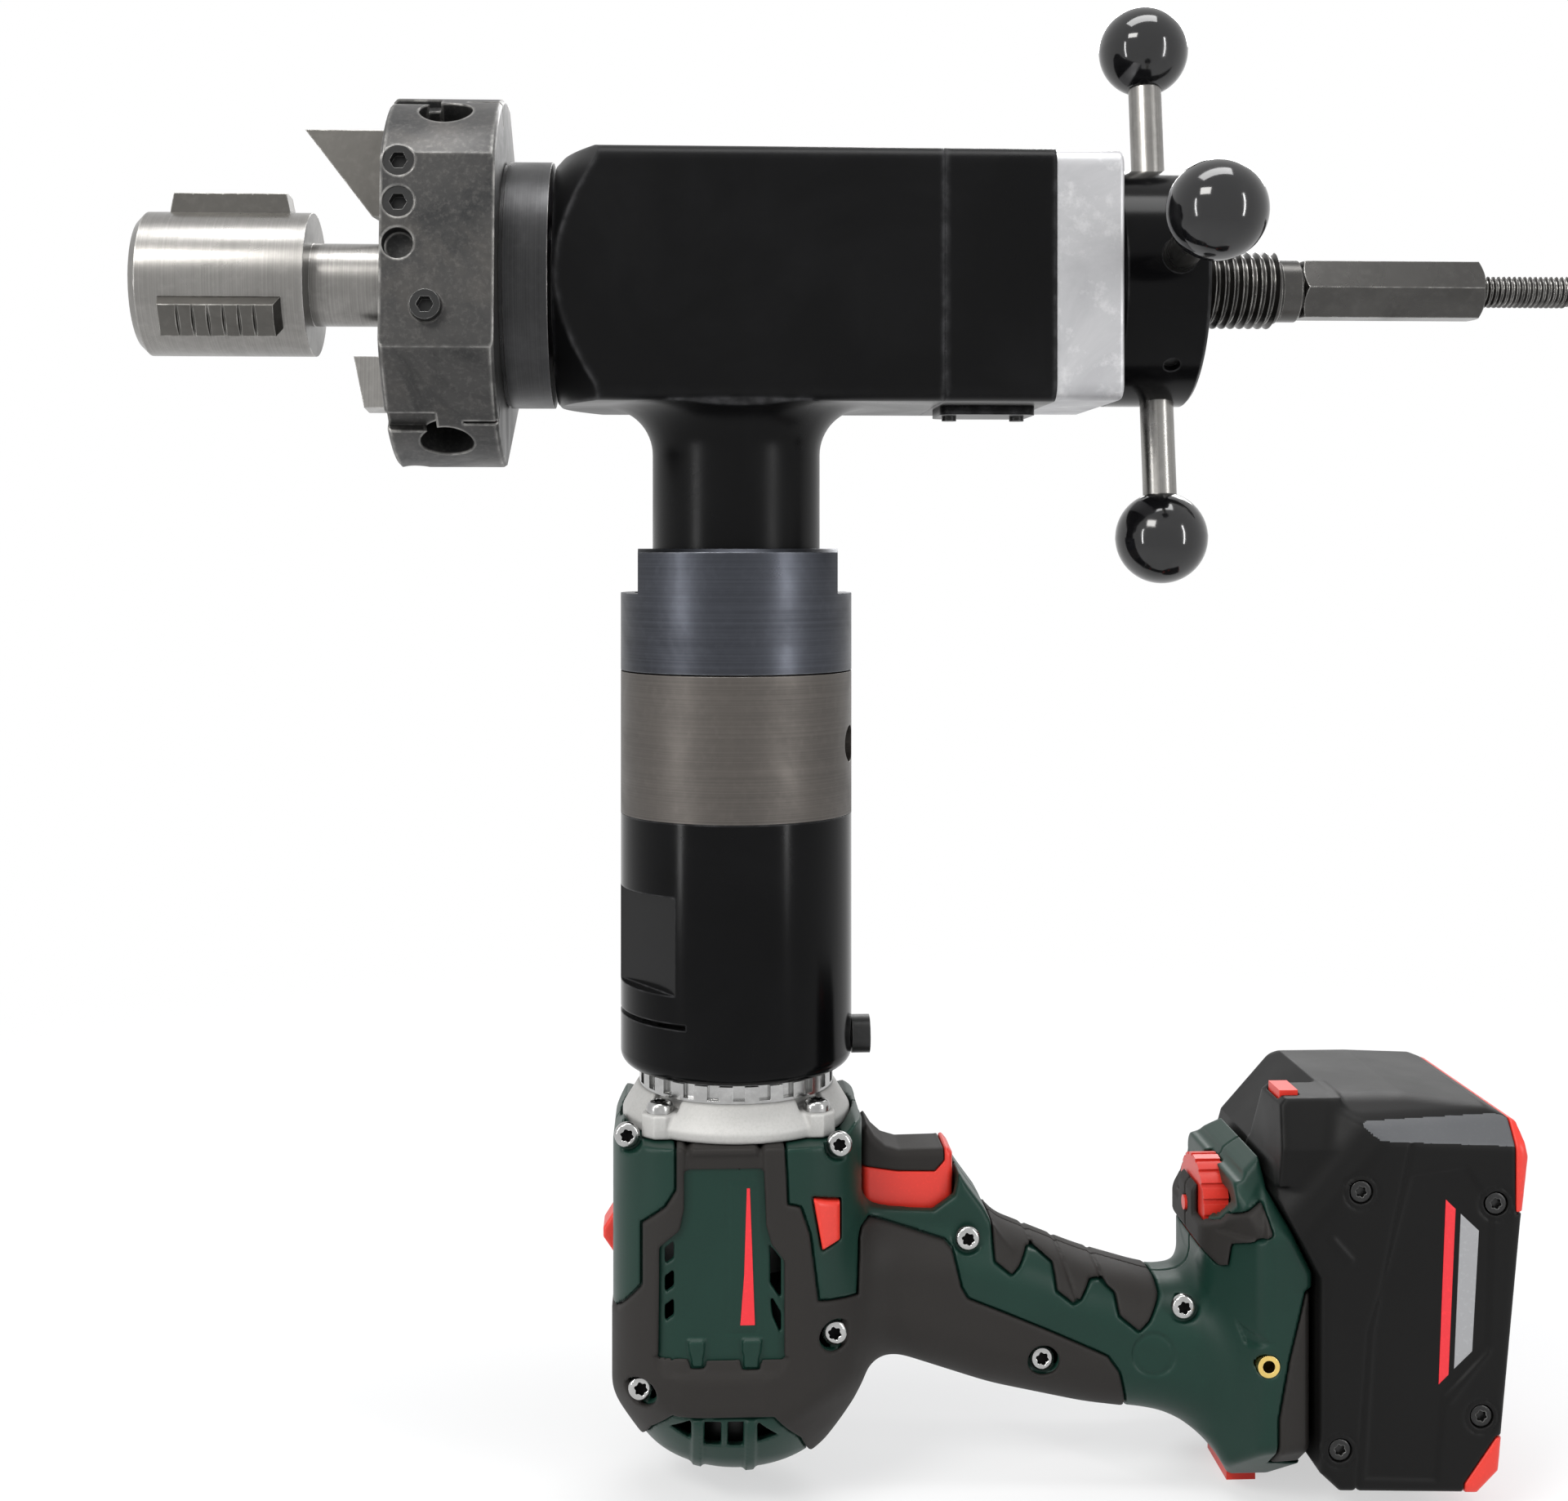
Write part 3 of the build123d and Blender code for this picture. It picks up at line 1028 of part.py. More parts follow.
def planetary_stage():
    top = gear_top()
    carrier = cylinder_z(top + FREE, top + FREE + CARRIER_THICKNESS, CARRIER_RADIUS)
    pin = cylinder_z(top - PLANET_LENGTH, top + FREE, PLANET_PIN_RADIUS, planet_place())
    for one in around_column(pin, PLANET_COUNT, FIRST_PLANET_ANGLE):
        carrier += one
    keep("planet_carrier", carrier)
    outline = tooth_outline(PLANET_TEETH)
    for number in range(PLANET_COUNT):
        place = FIRST_PLANET_ANGLE + number * 360 / PLANET_COUNT
        # A planet meshes when a tooth gap of it faces a sun tooth along the line of centres.
        phase = place * (1 + SUN_TEETH / PLANET_TEETH) + 180 + 180 / PLANET_TEETH
        gear = gear_prism(outline, top - PLANET_LENGTH, top, phase)
        gear -= Pos(0, 0, top - PLANET_LENGTH - OVERRUN) * Cylinder(
            PLANET_PIN_RADIUS + RUN, PLANET_LENGTH + 2 * OVERRUN, align=LOW)
        x = COLUMN_X + planet_place() * cos(radians(place))
        keep(f"planet_gear_{number + 1}", Pos(x, planet_place() * sin(radians(place)), 0) * gear)
    sun = Pos(COLUMN_X, 0, 0) * gear_prism(tooth_outline(SUN_TEETH), top - PLANET_LENGTH, top)
    hex_top = DRILL_SPINDLE_TOP_Z
    shaft = cylinder_z(hex_top, top - PLANET_LENGTH, SUN_SHAFT_RADIUS)
    hexagon = hexagon_z(hex_top - SHAFT_HEX_LENGTH, hex_top, SHAFT_HEX)
    keep("sun_gear_shaft", sun + shaft + hexagon)


def drive_bushes():
    upper_top = -(PITCH_CONE + BEVEL_MODULE + PINION_HUB_LENGTH + FREE)
    shaft = PINION_SHAFT_RADIUS + RUN
    upper = ring_z(NECK_STEP_Z, upper_top, NECK_BORE, shaft)
    lower = ring_z(RING_TOP_Z - RING_WEB, NECK_END_Z - SEAT, NECK_LOWER_BORE, shaft)
    shaft = SUN_SHAFT_RADIUS + RUN
    sun = ring_z(ADAPTER_TOP_Z - ADAPTER_WEB, ADAPTER_TOP_Z, SUN_SHAFT_RADIUS + BUSH_WALL, shaft)
    keep("drive_bushes", upper, lower, sun)


def adapter_housing():
    body = cylinder_z(ADAPTER_BOTTOM_Z, ADAPTER_TOP_Z, COLUMN_RADIUS)
    body = fillet(body.edges().sort_by(Axis.Z)[0], ADAPTER_EDGE)
    body -= cylinder_z(ADAPTER_BOTTOM_Z - OVERRUN, ADAPTER_TOP_Z - ADAPTER_WEB, ADAPTER_BORE)
    body -= cylinder_z(ADAPTER_BOTTOM_Z, ADAPTER_TOP_Z + OVERRUN, SUN_SHAFT_RADIUS + BUSH_WALL)
    flat = block(ADAPTER_FLAT, COLUMN_RADIUS + OVERRUN, -COLUMN_RADIUS, COLUMN_RADIUS,
                 ADAPTER_FLAT_BOTTOM_Z, ADAPTER_FLAT_TOP_Z)
    body -= Pos(COLUMN_X, 0, 0) * Rot(0, 0, ADAPTER_FLAT_ANGLE) * flat
    body -= block(COLUMN_X - COLUMN_RADIUS - OVERRUN, COLUMN_X - ADAPTER_SLIT_OFFSET,
                  -COLUMN_RADIUS, COLUMN_RADIUS,
                  ADAPTER_SLIT_Z - ADAPTER_SLIT / 2, ADAPTER_SLIT_Z + ADAPTER_SLIT / 2)
    body -= out_from_column(0, COLUMN_RADIUS + OVERRUN, LOCK_SCREW_SHANK, LOCK_SCREW_Z)
    keep("adapter_housing", body)
    reach = GEARCASE_SPIGOT + SEAT
    seat = COLUMN_RADIUS
    shank = out_from_column(reach, seat + LOCK_SCREW_HEIGHT / 2, LOCK_SCREW_SHANK - SEAT, LOCK_SCREW_Z)
    head = out_from_column(seat, seat + LOCK_SCREW_HEIGHT, LOCK_SCREW_RADIUS, LOCK_SCREW_Z)
    keep("adapter_lock_screw", shank + head)


# Drill

def around_lugs(solid):
    """Copies of a solid at the four lugs of the flange."""
    return around_column(solid, FLANGE_LUG_COUNT, FLANGE_LUG_FIRST_ANGLE)


def drill_nose():
    bore = DRILL_SPINDLE_RADIUS + RUN
    case = turned_z([(bore, GEARCASE_SPIGOT_TOP_Z), (GEARCASE_SPIGOT, GEARCASE_SPIGOT_TOP_Z),
                     (GEARCASE_SPIGOT, FLANGE_TOP_Z), (FLANGE_TOP_RADIUS, FLANGE_TOP_Z),
                     (FLANGE_RADIUS, FLANGE_SHOULDER_Z), (FLANGE_RADIUS, FLANGE_BOTTOM_Z),
                     (bore, FLANGE_BOTTOM_Z)])
    lug_top = FLANGE_BOTTOM_Z + FLANGE_LUG_HEIGHT
    circle = FLANGE_LUG_CIRCLE
    for lug in around_lugs(cylinder_z(FLANGE_BOTTOM_Z, lug_top, FLANGE_LUG_RADIUS, circle)):
        case += lug
    for well in around_lugs(cylinder_z(lug_top, FLANGE_TOP_Z + OVERRUN, FLANGE_LUG_RADIUS, circle)):
        case -= well
    screws = around_lugs(cylinder_z(lug_top, lug_top + FLANGE_SCREW_HEIGHT, FLANGE_SCREW_RADIUS, circle))
    keep("gear_case", case)
    keep("flange_screws", screws)
    low = FLANGE_TOP_Z
    ring = ring_z(low, low + NOSE_RING_HEIGHT, NOSE_RING_RADIUS, GEARCASE_SPIGOT + SEAT)
    notch = Pos(0, 0, low + NOSE_RING_HEIGHT / 2) * block(
        NOSE_RING_RADIUS - NOSE_RING_NOTCH_DEPTH, NOSE_RING_RADIUS + OVERRUN,
        -NOSE_RING_NOTCH_WIDTH / 2, NOSE_RING_NOTCH_WIDTH / 2, -NOSE_RING_HEIGHT / 3, NOSE_RING_HEIGHT)
    for one in around_column(notch, NOSE_RING_NOTCHES):
        ring -= one
    keep("nose_ring", ring)
    spindle = cylinder_z(DRILL_SPINDLE_BOTTOM_Z, DRILL_SPINDLE_TOP_Z, DRILL_SPINDLE_RADIUS)
    floor = DRILL_SPINDLE_TOP_Z - SHAFT_HEX_LENGTH - SEAT
    spindle -= hexagon_z(floor, DRILL_SPINDLE_TOP_Z + OVERRUN, SHAFT_HEX + 2 * SEAT)
    keep("drill_spindle", spindle)


def barrel_form(inset):
    """Outer form of the drill's barrel, or the same form drawn in by inset."""
    half = BARREL_HALF - inset
    top = BARREL_TOP_Z + BARREL_EAR_HEIGHT - inset
    prism = Pos(COLUMN_X, 0, BARREL_END_Z) * extrude(
        RectangleRounded(2 * half, 2 * half, BARREL_CORNER - inset), top - BARREL_END_Z)
    end = BARREL_END_Z + inset
    points = [(0, top), (BARREL_HALF * sqrt(2), top)]
    points += [(BARREL_HALF * across, end + up * BARREL_HALF) for across, up in BARREL_PROFILE_SHARES]
    points.append((0, end))
    return prism & turned_z(points)


def handle_form(inset):
    """Grip lofted through rounded sections along X."""
    sections = []
    for along, top, bottom, width in HANDLE_SHARES:
        high = HANDLE_TOP_Z - top * HANDLE_DEPTH - inset
        low = HANDLE_TOP_Z - bottom * HANDLE_DEPTH + inset
        half = width * HANDLE_HALF - inset
        corner = min(half, (high - low) / 2) * HANDLE_ROUND
        middle = (high + low) / 2
        origin = (HANDLE_START_X + along * HANDLE_LENGTH, 0, middle)
        plane = Plane(origin=origin, x_dir=(0, 1, 0), z_dir=(1, 0, 0))
        sections.append(plane * RectangleRounded(2 * half, high - low, corner))
    return loft(sections)


def foot_form(inset):
    """Foot that carries the battery rail."""
    front_x = FOOT_X + inset
    rear_x = FOOT_REAR_X - inset
    low = FOOT_BOTTOM_Z + inset
    outline = [(front_x, HANDLE_TOP_Z - inset),
               (FOOT_SHOULDER_X - BATTERY_SLOPE / 2 + inset, FOOT_TOP_Z - inset),
               (FOOT_SHOULDER_X - inset, FOOT_TOP_Z - inset), (FOOT_NOTCH_X - inset, FOOT_SHOULDER_Z),
               (rear_x, FOOT_KNEE_Z), (rear_x, FOOT_BOTTOM_Z + FOOT_EDGE), (rear_x - FOOT_EDGE, low),
               (front_x + FOOT_EDGE, low), (front_x, FOOT_BOTTOM_Z + 2 * FOOT_EDGE)]
    solid = side_plate(outline, -FOOT_HALF + inset, FOOT_HALF - inset)
    wide = FOOT_HALF + OVERRUN
    past = FOOT_REAR_X + OVERRUN
    front = [(front_x, -HANDLE_HALF), (front_x, HANDLE_HALF), (FOOT_NOTCH_X, wide), (past, wide),
             (past, -wide), (FOOT_NOTCH_X, -wide)]
    face = make_face(Polyline([(x, y, FOOT_BOTTOM_Z - OVERRUN) for x, y in front], close=True))
    return solid & extrude(face, FOOT_TOP_Z - FOOT_BOTTOM_Z + 2 * OVERRUN, dir=(0, 0, 1))


def drill_form(inset):
    return barrel_form(inset) + handle_form(inset) + foot_form(inset)


def on_barrel(shares):
    """Points given in shares of the barrel's half width, from the middle of its mark."""
    return [(COLUMN_X + a * BARREL_HALF, BARREL_MARK_Z + b * BARREL_HALF) for a, b in shares]


def on_handle(shares):
    """Points given in shares of the handle's length and depth, from the start of its top."""
    return [(HANDLE_START_X + a * HANDLE_LENGTH, HANDLE_TOP_Z - b * HANDLE_DEPTH) for a, b in shares]


def across(points):
    """Outline cut through the whole width of the drill."""
    return side_plate(points, -BATTERY_HALF - OVERRUN, BATTERY_HALF + OVERRUN)


def soft_regions():
    """Where the soft overmould covers the shells."""
    region = across(on_barrel(BARREL_SOFT_SHARES)) + across(on_handle(PALM_SOFT_SHARES))
    region += across(on_handle(FINGER_SOFT_SHARES))
    return region - across(on_barrel(PANEL_BARE_SHARES)) - across(on_barrel(CAP_BARE_SHARES))


def selector_block(proud, deep, grown, reach):
    """Block in the gear selector's slot, grown sideways and reaching past its ends along the travel."""
    face_x = COLUMN_X - BARREL_HALF
    wide = SELECTOR_WIDTH / 2 + grown
    half = SELECTOR_LENGTH / 2 + reach
    return block(face_x - proud, face_x + deep, -wide, wide, SELECTOR_Z - half, SELECTOR_Z + half)


def reverser_outline(clearance):
    low = REVERSER_Z - REVERSER_HEIGHT - clearance
    high = REVERSER_Z + clearance
    right = REVERSER_X + REVERSER_WIDTH + clearance
    return [(REVERSER_X - clearance, high), (right, high - REVERSER_WIDTH / 4),
            (right, low + REVERSER_WIDTH / 4), (REVERSER_X + REVERSER_WIDTH / 3 - clearance, low)]


def trigger_space(clearance):
    """Room for the trigger and its travel."""
    return block(TRIGGER_FRONT_X - clearance, TRIGGER_FRONT_X + TRIGGER_LENGTH + clearance,
                 -TRIGGER_HALF - clearance, TRIGGER_HALF + clearance,
                 TRIGGER_TOP_Z - TRIGGER_HEIGHT - TRIGGER_TRAVEL - clearance, TRIGGER_TOP_Z + OVERRUN)


def on_wheel(radius, reach):
    """Cylinder on the torque wheel's axis that reaches past both of its faces."""
    return Pos(0, 0, WHEEL_Z) * cylinder_x(WHEEL_X - reach, WHEEL_X + WHEEL_WIDTH + reach, radius)


def release_block(grown, low, high):
    """Block in the release button's place, grown sideways."""
    half = RELEASE_WIDTH / 2 + grown
    wide = RELEASE_HALF + grown
    return block(RELEASE_X - half, RELEASE_X + half, -wide, wide, low, high)


def battery_tongue(clearance, top):
    """Rail of the battery in the foot's open-topped slot."""
    face_x = FOOT_REAR_X + BATTERY_GAP
    low = FOOT_BOTTOM_Z + RAIL_LIFT - clearance
    neck = block(FOOT_REAR_X - RAIL_DEPTH - clearance, face_x + OVERRUN, -RAIL_HALF - clearance,
                 RAIL_HALF + clearance, low, top)
    lips = block(FOOT_REAR_X - RAIL_DEPTH - clearance, FOOT_REAR_X - RAIL_DEPTH / 2 + clearance,
                 -RAIL_HALF - RAIL_LIP - clearance, RAIL_HALF + RAIL_LIP + clearance, low, top)
    return neck + lips


def screw_seats():
    """Shell screw axes on the near half, as (x, z, depth of the head's seat)."""
    seats = [on_barrel([(a, b)])[0] + (depth * BARREL_HALF,) for a, b, depth in BARREL_SCREW_SHARES]
    seats += [on_handle([(a, b)])[0] + (depth * HANDLE_HALF,) for a, b, depth in HANDLE_SCREW_SHARES]
    return seats


def on_insert(low, high, radius):
    """Cylinder on the axis of the foot's threaded inserts."""
    return cylinder_y(low, high, radius, INSERT_X, INSERT_Z)


def shells():
    outer = drill_form(0)
    ear_top = BARREL_TOP_Z + BARREL_EAR_HEIGHT + OVERRUN
    outer -= cylinder_z(BARREL_TOP_Z, ear_top, FLANGE_RADIUS + FREE)
    for lug in around_lugs(cylinder_z(BARREL_TOP_Z, ear_top, FLANGE_LUG_RADIUS + FREE, FLANGE_LUG_CIRCLE)):
        outer -= lug
    inner = drill_form(SHELL_WALL) - cylinder_z(BARREL_TOP_Z - SHELL_WALL, ear_top, BARREL_HALF * 2)
    webs = on_wheel(WHEEL_RADIUS, WEB_THICKNESS + FREE) - on_wheel(WHEEL_RADIUS + OVERRUN, FREE)
    inner -= webs
    body = outer - inner
    body -= cylinder_z(BARREL_TOP_Z - SHELL_WALL * 2, BARREL_TOP_Z + OVERRUN, DRILL_SPINDLE_RADIUS + FREE)
    body -= trigger_space(FREE)
    body -= across(reverser_outline(FREE))
    selector_slot = selector_block(OVERRUN, SHELL_WALL + SKIN, FREE, SELECTOR_TRAVEL + FREE)
    body -= selector_slot
    body -= on_wheel(WHEEL_RADIUS + FREE, FREE)
    body -= on_wheel(WHEEL_PIN_RADIUS + RUN, WEB_THICKNESS + OVERRUN)
    body -= release_block(FREE, FOOT_BOTTOM_Z - OVERRUN, FOOT_BOTTOM_Z + SHELL_WALL + OVERRUN)
    body -= battery_tongue(FREE, FOOT_TOP_Z + OVERRUN)
    for low, high, top, count in VENT_SHARES:
        for row in range(count):
            start = top - row * VENT_PITCH_SHARE
            body -= across(on_barrel([(low, start), (high, start), (high, start - VENT_HEIGHT_SHARE),
                                      (low, start - VENT_HEIGHT_SHARE)]))
    soft = (outer - drill_form(SKIN)) & soft_regions()
    soft -= trigger_space(FREE) + on_wheel(WHEEL_RADIUS + FREE, FREE) + selector_slot
    body -= soft_regions() - drill_form(SKIN)
    screws, holes = [], []
    for x, z, seat in screw_seats():
        holes.append(cylinder_y(-BATTERY_HALF, -seat, SHELL_SCREW_RADIUS + SEAT, x, z))
        screws.append(cylinder_y(-seat - SHELL_SCREW_RADIUS / 2, -seat, SHELL_SCREW_RADIUS, x, z))
    for hole in holes:
        body -= hole
        soft -= hole
    face = FOOT_HALF - FREE
    boss = on_insert(-face, face, INSERT_BOSS) & drill_form(0)
    body += boss - battery_tongue(FREE, FOOT_TOP_Z + OVERRUN)
    body -= on_insert(-face - OVERRUN, -face + INSERT_LENGTH, INSERT_RADIUS)
    body -= on_insert(face - INSERT_LENGTH, face + OVERRUN, INSERT_RADIUS)
    bore = on_insert(-FOOT_HALF, FOOT_HALF, INSERT_BORE)
    inserts = [on_insert(-face, -face + INSERT_LENGTH, INSERT_RADIUS) - bore,
               on_insert(face - INSERT_LENGTH, face, INSERT_RADIUS) - bore]
    low = BARREL_END_Z - OVERRUN
    near = block(0, BATTERY_REAR_X, -BATTERY_HALF, 0, low, 0)
    far = block(0, BATTERY_REAR_X, 0, BATTERY_HALF, low, 0)
    keep("shell_near", body & near)
    keep("shell_far", body & far)
    keep("grip_overmould", soft)
    keep("shell_screws", screws)
    keep("threaded_inserts", inserts)
    top = BARREL_TOP_Z - MOTOR_TOP_GAP
    shaft = cylinder_z(top, DRILL_SPINDLE_BOTTOM_Z - FREE, MOTOR_SHAFT_RADIUS)
    keep("motor", cylinder_z(top - MOTOR_LENGTH, top, MOTOR_RADIUS) + shaft)


def controls():
    right = TRIGGER_FRONT_X + TRIGGER_LENGTH
    bottom = TRIGGER_TOP_Z - TRIGGER_HEIGHT
    dip = TRIGGER_TOP_Z - PAD_SKIN
    whole = side_plate([(TRIGGER_FRONT_X, TRIGGER_TOP_Z + PAD_SKIN), (TRIGGER_FRONT_X + PAD_DEPTH, dip),
                        (right - PAD_DEPTH, dip), (right - PAD_SKIN, TRIGGER_TOP_Z), (right, dip - PAD_SKIN),
                        (right, bottom), (TRIGGER_FRONT_X, bottom)], -TRIGGER_HALF, TRIGGER_HALF)
    pad_room = block(TRIGGER_FRONT_X - OVERRUN, right - PAD_SKIN * 2, -TRIGGER_HALF * 2, TRIGGER_HALF * 2,
                     TRIGGER_TOP_Z - PAD_DEPTH, TRIGGER_TOP_Z + OVERRUN)
    keep("trigger", whole - pad_room)
    keep("trigger_pad", whole & pad_room)
    span = BARREL_HALF + REVERSER_PROUD
    keep("direction_button", side_plate(reverser_outline(0.0), -span, span))
    knob = selector_block(SELECTOR_PROUD, SHELL_WALL + 2 * SKIN, 0, 0)
    plate = selector_block(-SHELL_WALL - SKIN - FREE / 2, SHELL_WALL + 2 * SKIN + FREE, 0,
                           2 * SELECTOR_TRAVEL + 2 * FREE)
    keep("gear_selector", knob + plate)
    wheel = on_wheel(WHEEL_RADIUS, 0.0)
    rib = block(WHEEL_X - OVERRUN, WHEEL_X + WHEEL_WIDTH + OVERRUN, -WHEEL_RIB_DEPTH, WHEEL_RIB_DEPTH,
                WHEEL_RADIUS - WHEEL_RIB_DEPTH, WHEEL_RADIUS + OVERRUN)
    for number in range(WHEEL_RIBS):
        wheel -= Pos(0, 0, WHEEL_Z) * Rot(number * 360 / WHEEL_RIBS, 0, 0) * rib
    keep("torque_wheel", wheel + on_wheel(WHEEL_PIN_RADIUS, WEB_THICKNESS))
    button = release_block(0, FOOT_BOTTOM_Z - RELEASE_PROUD, FOOT_BOTTOM_Z + SHELL_WALL)
    keep("release_button", button)


def battery_form(inset):
    """Battery case outline with rounded long edges, drawn in by inset on its outer sides."""
    top = BATTERY_TOP_Z - inset
    bottom = BATTERY_BOTTOM_Z + inset
    rear = BATTERY_REAR_X - inset
    front = FOOT_REAR_X + BATTERY_GAP
    shoulder = top - BATTERY_SLOPE
    middle = (FOOT_REAR_X + BATTERY_REAR_X) / 2
    outline = [(FOOT_SHOULDER_X + BATTERY_GAP, FOOT_TOP_Z), (FOOT_SHOULDER_X + BATTERY_SLOPE, top),
               (middle, top),
               (rear - BATTERY_TAPER / 2, shoulder), (rear, shoulder - BATTERY_EDGE),
               (rear - BATTERY_TAPER / 4, shoulder - BATTERY_EDGE * 4),
               (rear - BATTERY_TAPER, bottom + BATTERY_EDGE), (rear - BATTERY_TAPER - BATTERY_EDGE, bottom),
               (FOOT_REAR_X + BATTERY_EDGE, bottom + BATTERY_EDGE / 4), (front, bottom + BATTERY_EDGE),
               (front, FOOT_KNEE_Z), (FOOT_NOTCH_X + BATTERY_GAP, FOOT_SHOULDER_Z)]
    half = BATTERY_HALF - inset
    solid = side_plate(outline, -half, half)
    face = Plane.YZ.offset(FOOT_SHOULDER_X) * Pos(0, (top + bottom) / 2) * RectangleRounded(
        2 * half, top - bottom, BATTERY_EDGE)
    return solid & extrude(face, BATTERY_REAR_X - FOOT_SHOULDER_X + OVERRUN, dir=(1, 0, 0))


def gauge_block(grown, low, high):
    """Block in the gauge button's place, grown sideways."""
    half = GAUGE_WIDTH / 2 + grown
    reach = GAUGE_LENGTH / 2 + grown
    return block(GAUGE_X - half, GAUGE_X + half, GAUGE_Y - reach, GAUGE_Y + reach, low, high)


def battery():
    case = battery_form(0)
    core = battery_form(BUMPER_DEPTH)
    corner = BATTERY_REAR_X - BATTERY_TAPER * 2
    edge = BATTERY_REAR_X - BATTERY_TAPER / 2
    past = BATTERY_REAR_X + OVERRUN
    top = BATTERY_TOP_Z
    low = BATTERY_BOTTOM_Z
    region = across([(edge, top), (past, top), (past, top - BUMPER_LENGTH), (edge, top - BUMPER_LENGTH)])
    region += across([(corner - OVERRUN, low - OVERRUN), (past, low - OVERRUN),
                      (past, low + BATTERY_TAPER * 2), (corner, low)])
    bumpers = (case - core) & region
    case -= region - core
    tongue_room = block(0, FOOT_REAR_X + BATTERY_GAP + SKIN, -BATTERY_HALF, BATTERY_HALF, low, FOOT_KNEE_Z)
    case += battery_tongue(0.0, FOOT_KNEE_Z) & tongue_room
    gauge = gauge_block(0, top - 2 * GAUGE_TRAVEL - FREE, top + GAUGE_TRAVEL)
    case -= gauge_block(FREE, top - 3 * GAUGE_TRAVEL - 2 * FREE, top + OVERRUN)
    screws = []
    for along, up in BATTERY_SCREW_SHARES:
        x = FOOT_REAR_X + along * (BATTERY_REAR_X - FOOT_REAR_X)
        z = BATTERY_BOTTOM_Z + up * (BATTERY_TOP_Z - BATTERY_BOTTOM_Z)
        seat = -BATTERY_HALF + 2 * BATTERY_SCREW_SINK
        case -= cylinder_y(-BATTERY_HALF * 2, seat, BATTERY_SCREW_RADIUS + SEAT, x, z)
        screws.append(cylinder_y(-BATTERY_HALF + BATTERY_SCREW_SINK / 2, seat, BATTERY_SCREW_RADIUS, x, z))
    keep("battery_case", case)
    keep("battery_bumpers", bumpers)
    keep("battery_screws", screws)
    keep("gauge_button", gauge)


def main():
    os.makedirs("parts", exist_ok=True)
    mandrel_body()
    draw_rod()
    clamp_jaws()
    draw_nut()
    cutter_head()
    head_screws()
    bevel_blade()
    facing_tool()
    tool_screws()
    cutter_spindle()
    spindle_bushes()
    bevel_gears()
    main_housing()
    rear_housing()
    rear_plate()
    feed_hub()
    union_nut()
    ring_gear_housing()
    planetary_stage()
    drive_bushes()
    adapter_housing()
    drill_nose()
    shells()
    controls()
    battery()


main()
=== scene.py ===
import bpy, bmesh, json, math
import numpy as np
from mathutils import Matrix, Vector


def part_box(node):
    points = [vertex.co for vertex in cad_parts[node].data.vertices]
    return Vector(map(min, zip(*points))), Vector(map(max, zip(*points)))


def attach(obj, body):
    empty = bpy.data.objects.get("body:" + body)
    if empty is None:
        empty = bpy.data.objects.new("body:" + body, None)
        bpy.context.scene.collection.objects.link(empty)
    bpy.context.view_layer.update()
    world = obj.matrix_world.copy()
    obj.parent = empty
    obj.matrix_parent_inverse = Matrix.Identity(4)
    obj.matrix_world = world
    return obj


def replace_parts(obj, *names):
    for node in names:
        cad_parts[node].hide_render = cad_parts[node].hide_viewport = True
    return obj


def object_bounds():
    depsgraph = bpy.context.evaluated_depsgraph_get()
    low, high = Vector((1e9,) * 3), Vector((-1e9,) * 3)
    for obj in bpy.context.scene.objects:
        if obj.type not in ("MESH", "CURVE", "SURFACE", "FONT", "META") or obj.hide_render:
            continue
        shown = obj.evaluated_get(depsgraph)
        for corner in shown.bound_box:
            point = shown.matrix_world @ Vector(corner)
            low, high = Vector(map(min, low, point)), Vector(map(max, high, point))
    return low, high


# Pipe beveling machine: materials, finer shapes, camera and light. Sizes are in millimetres, and
# meshes are written in metres.

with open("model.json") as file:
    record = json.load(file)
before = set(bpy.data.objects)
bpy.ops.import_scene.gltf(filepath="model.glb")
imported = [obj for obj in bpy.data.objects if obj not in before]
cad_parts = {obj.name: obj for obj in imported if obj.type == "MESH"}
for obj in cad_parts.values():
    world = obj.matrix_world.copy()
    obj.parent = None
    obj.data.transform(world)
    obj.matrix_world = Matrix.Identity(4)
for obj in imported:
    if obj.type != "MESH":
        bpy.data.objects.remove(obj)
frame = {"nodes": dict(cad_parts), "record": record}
cad_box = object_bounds()
MM = 0.001
AXIS_X = 103.0


# ---- Materials ----

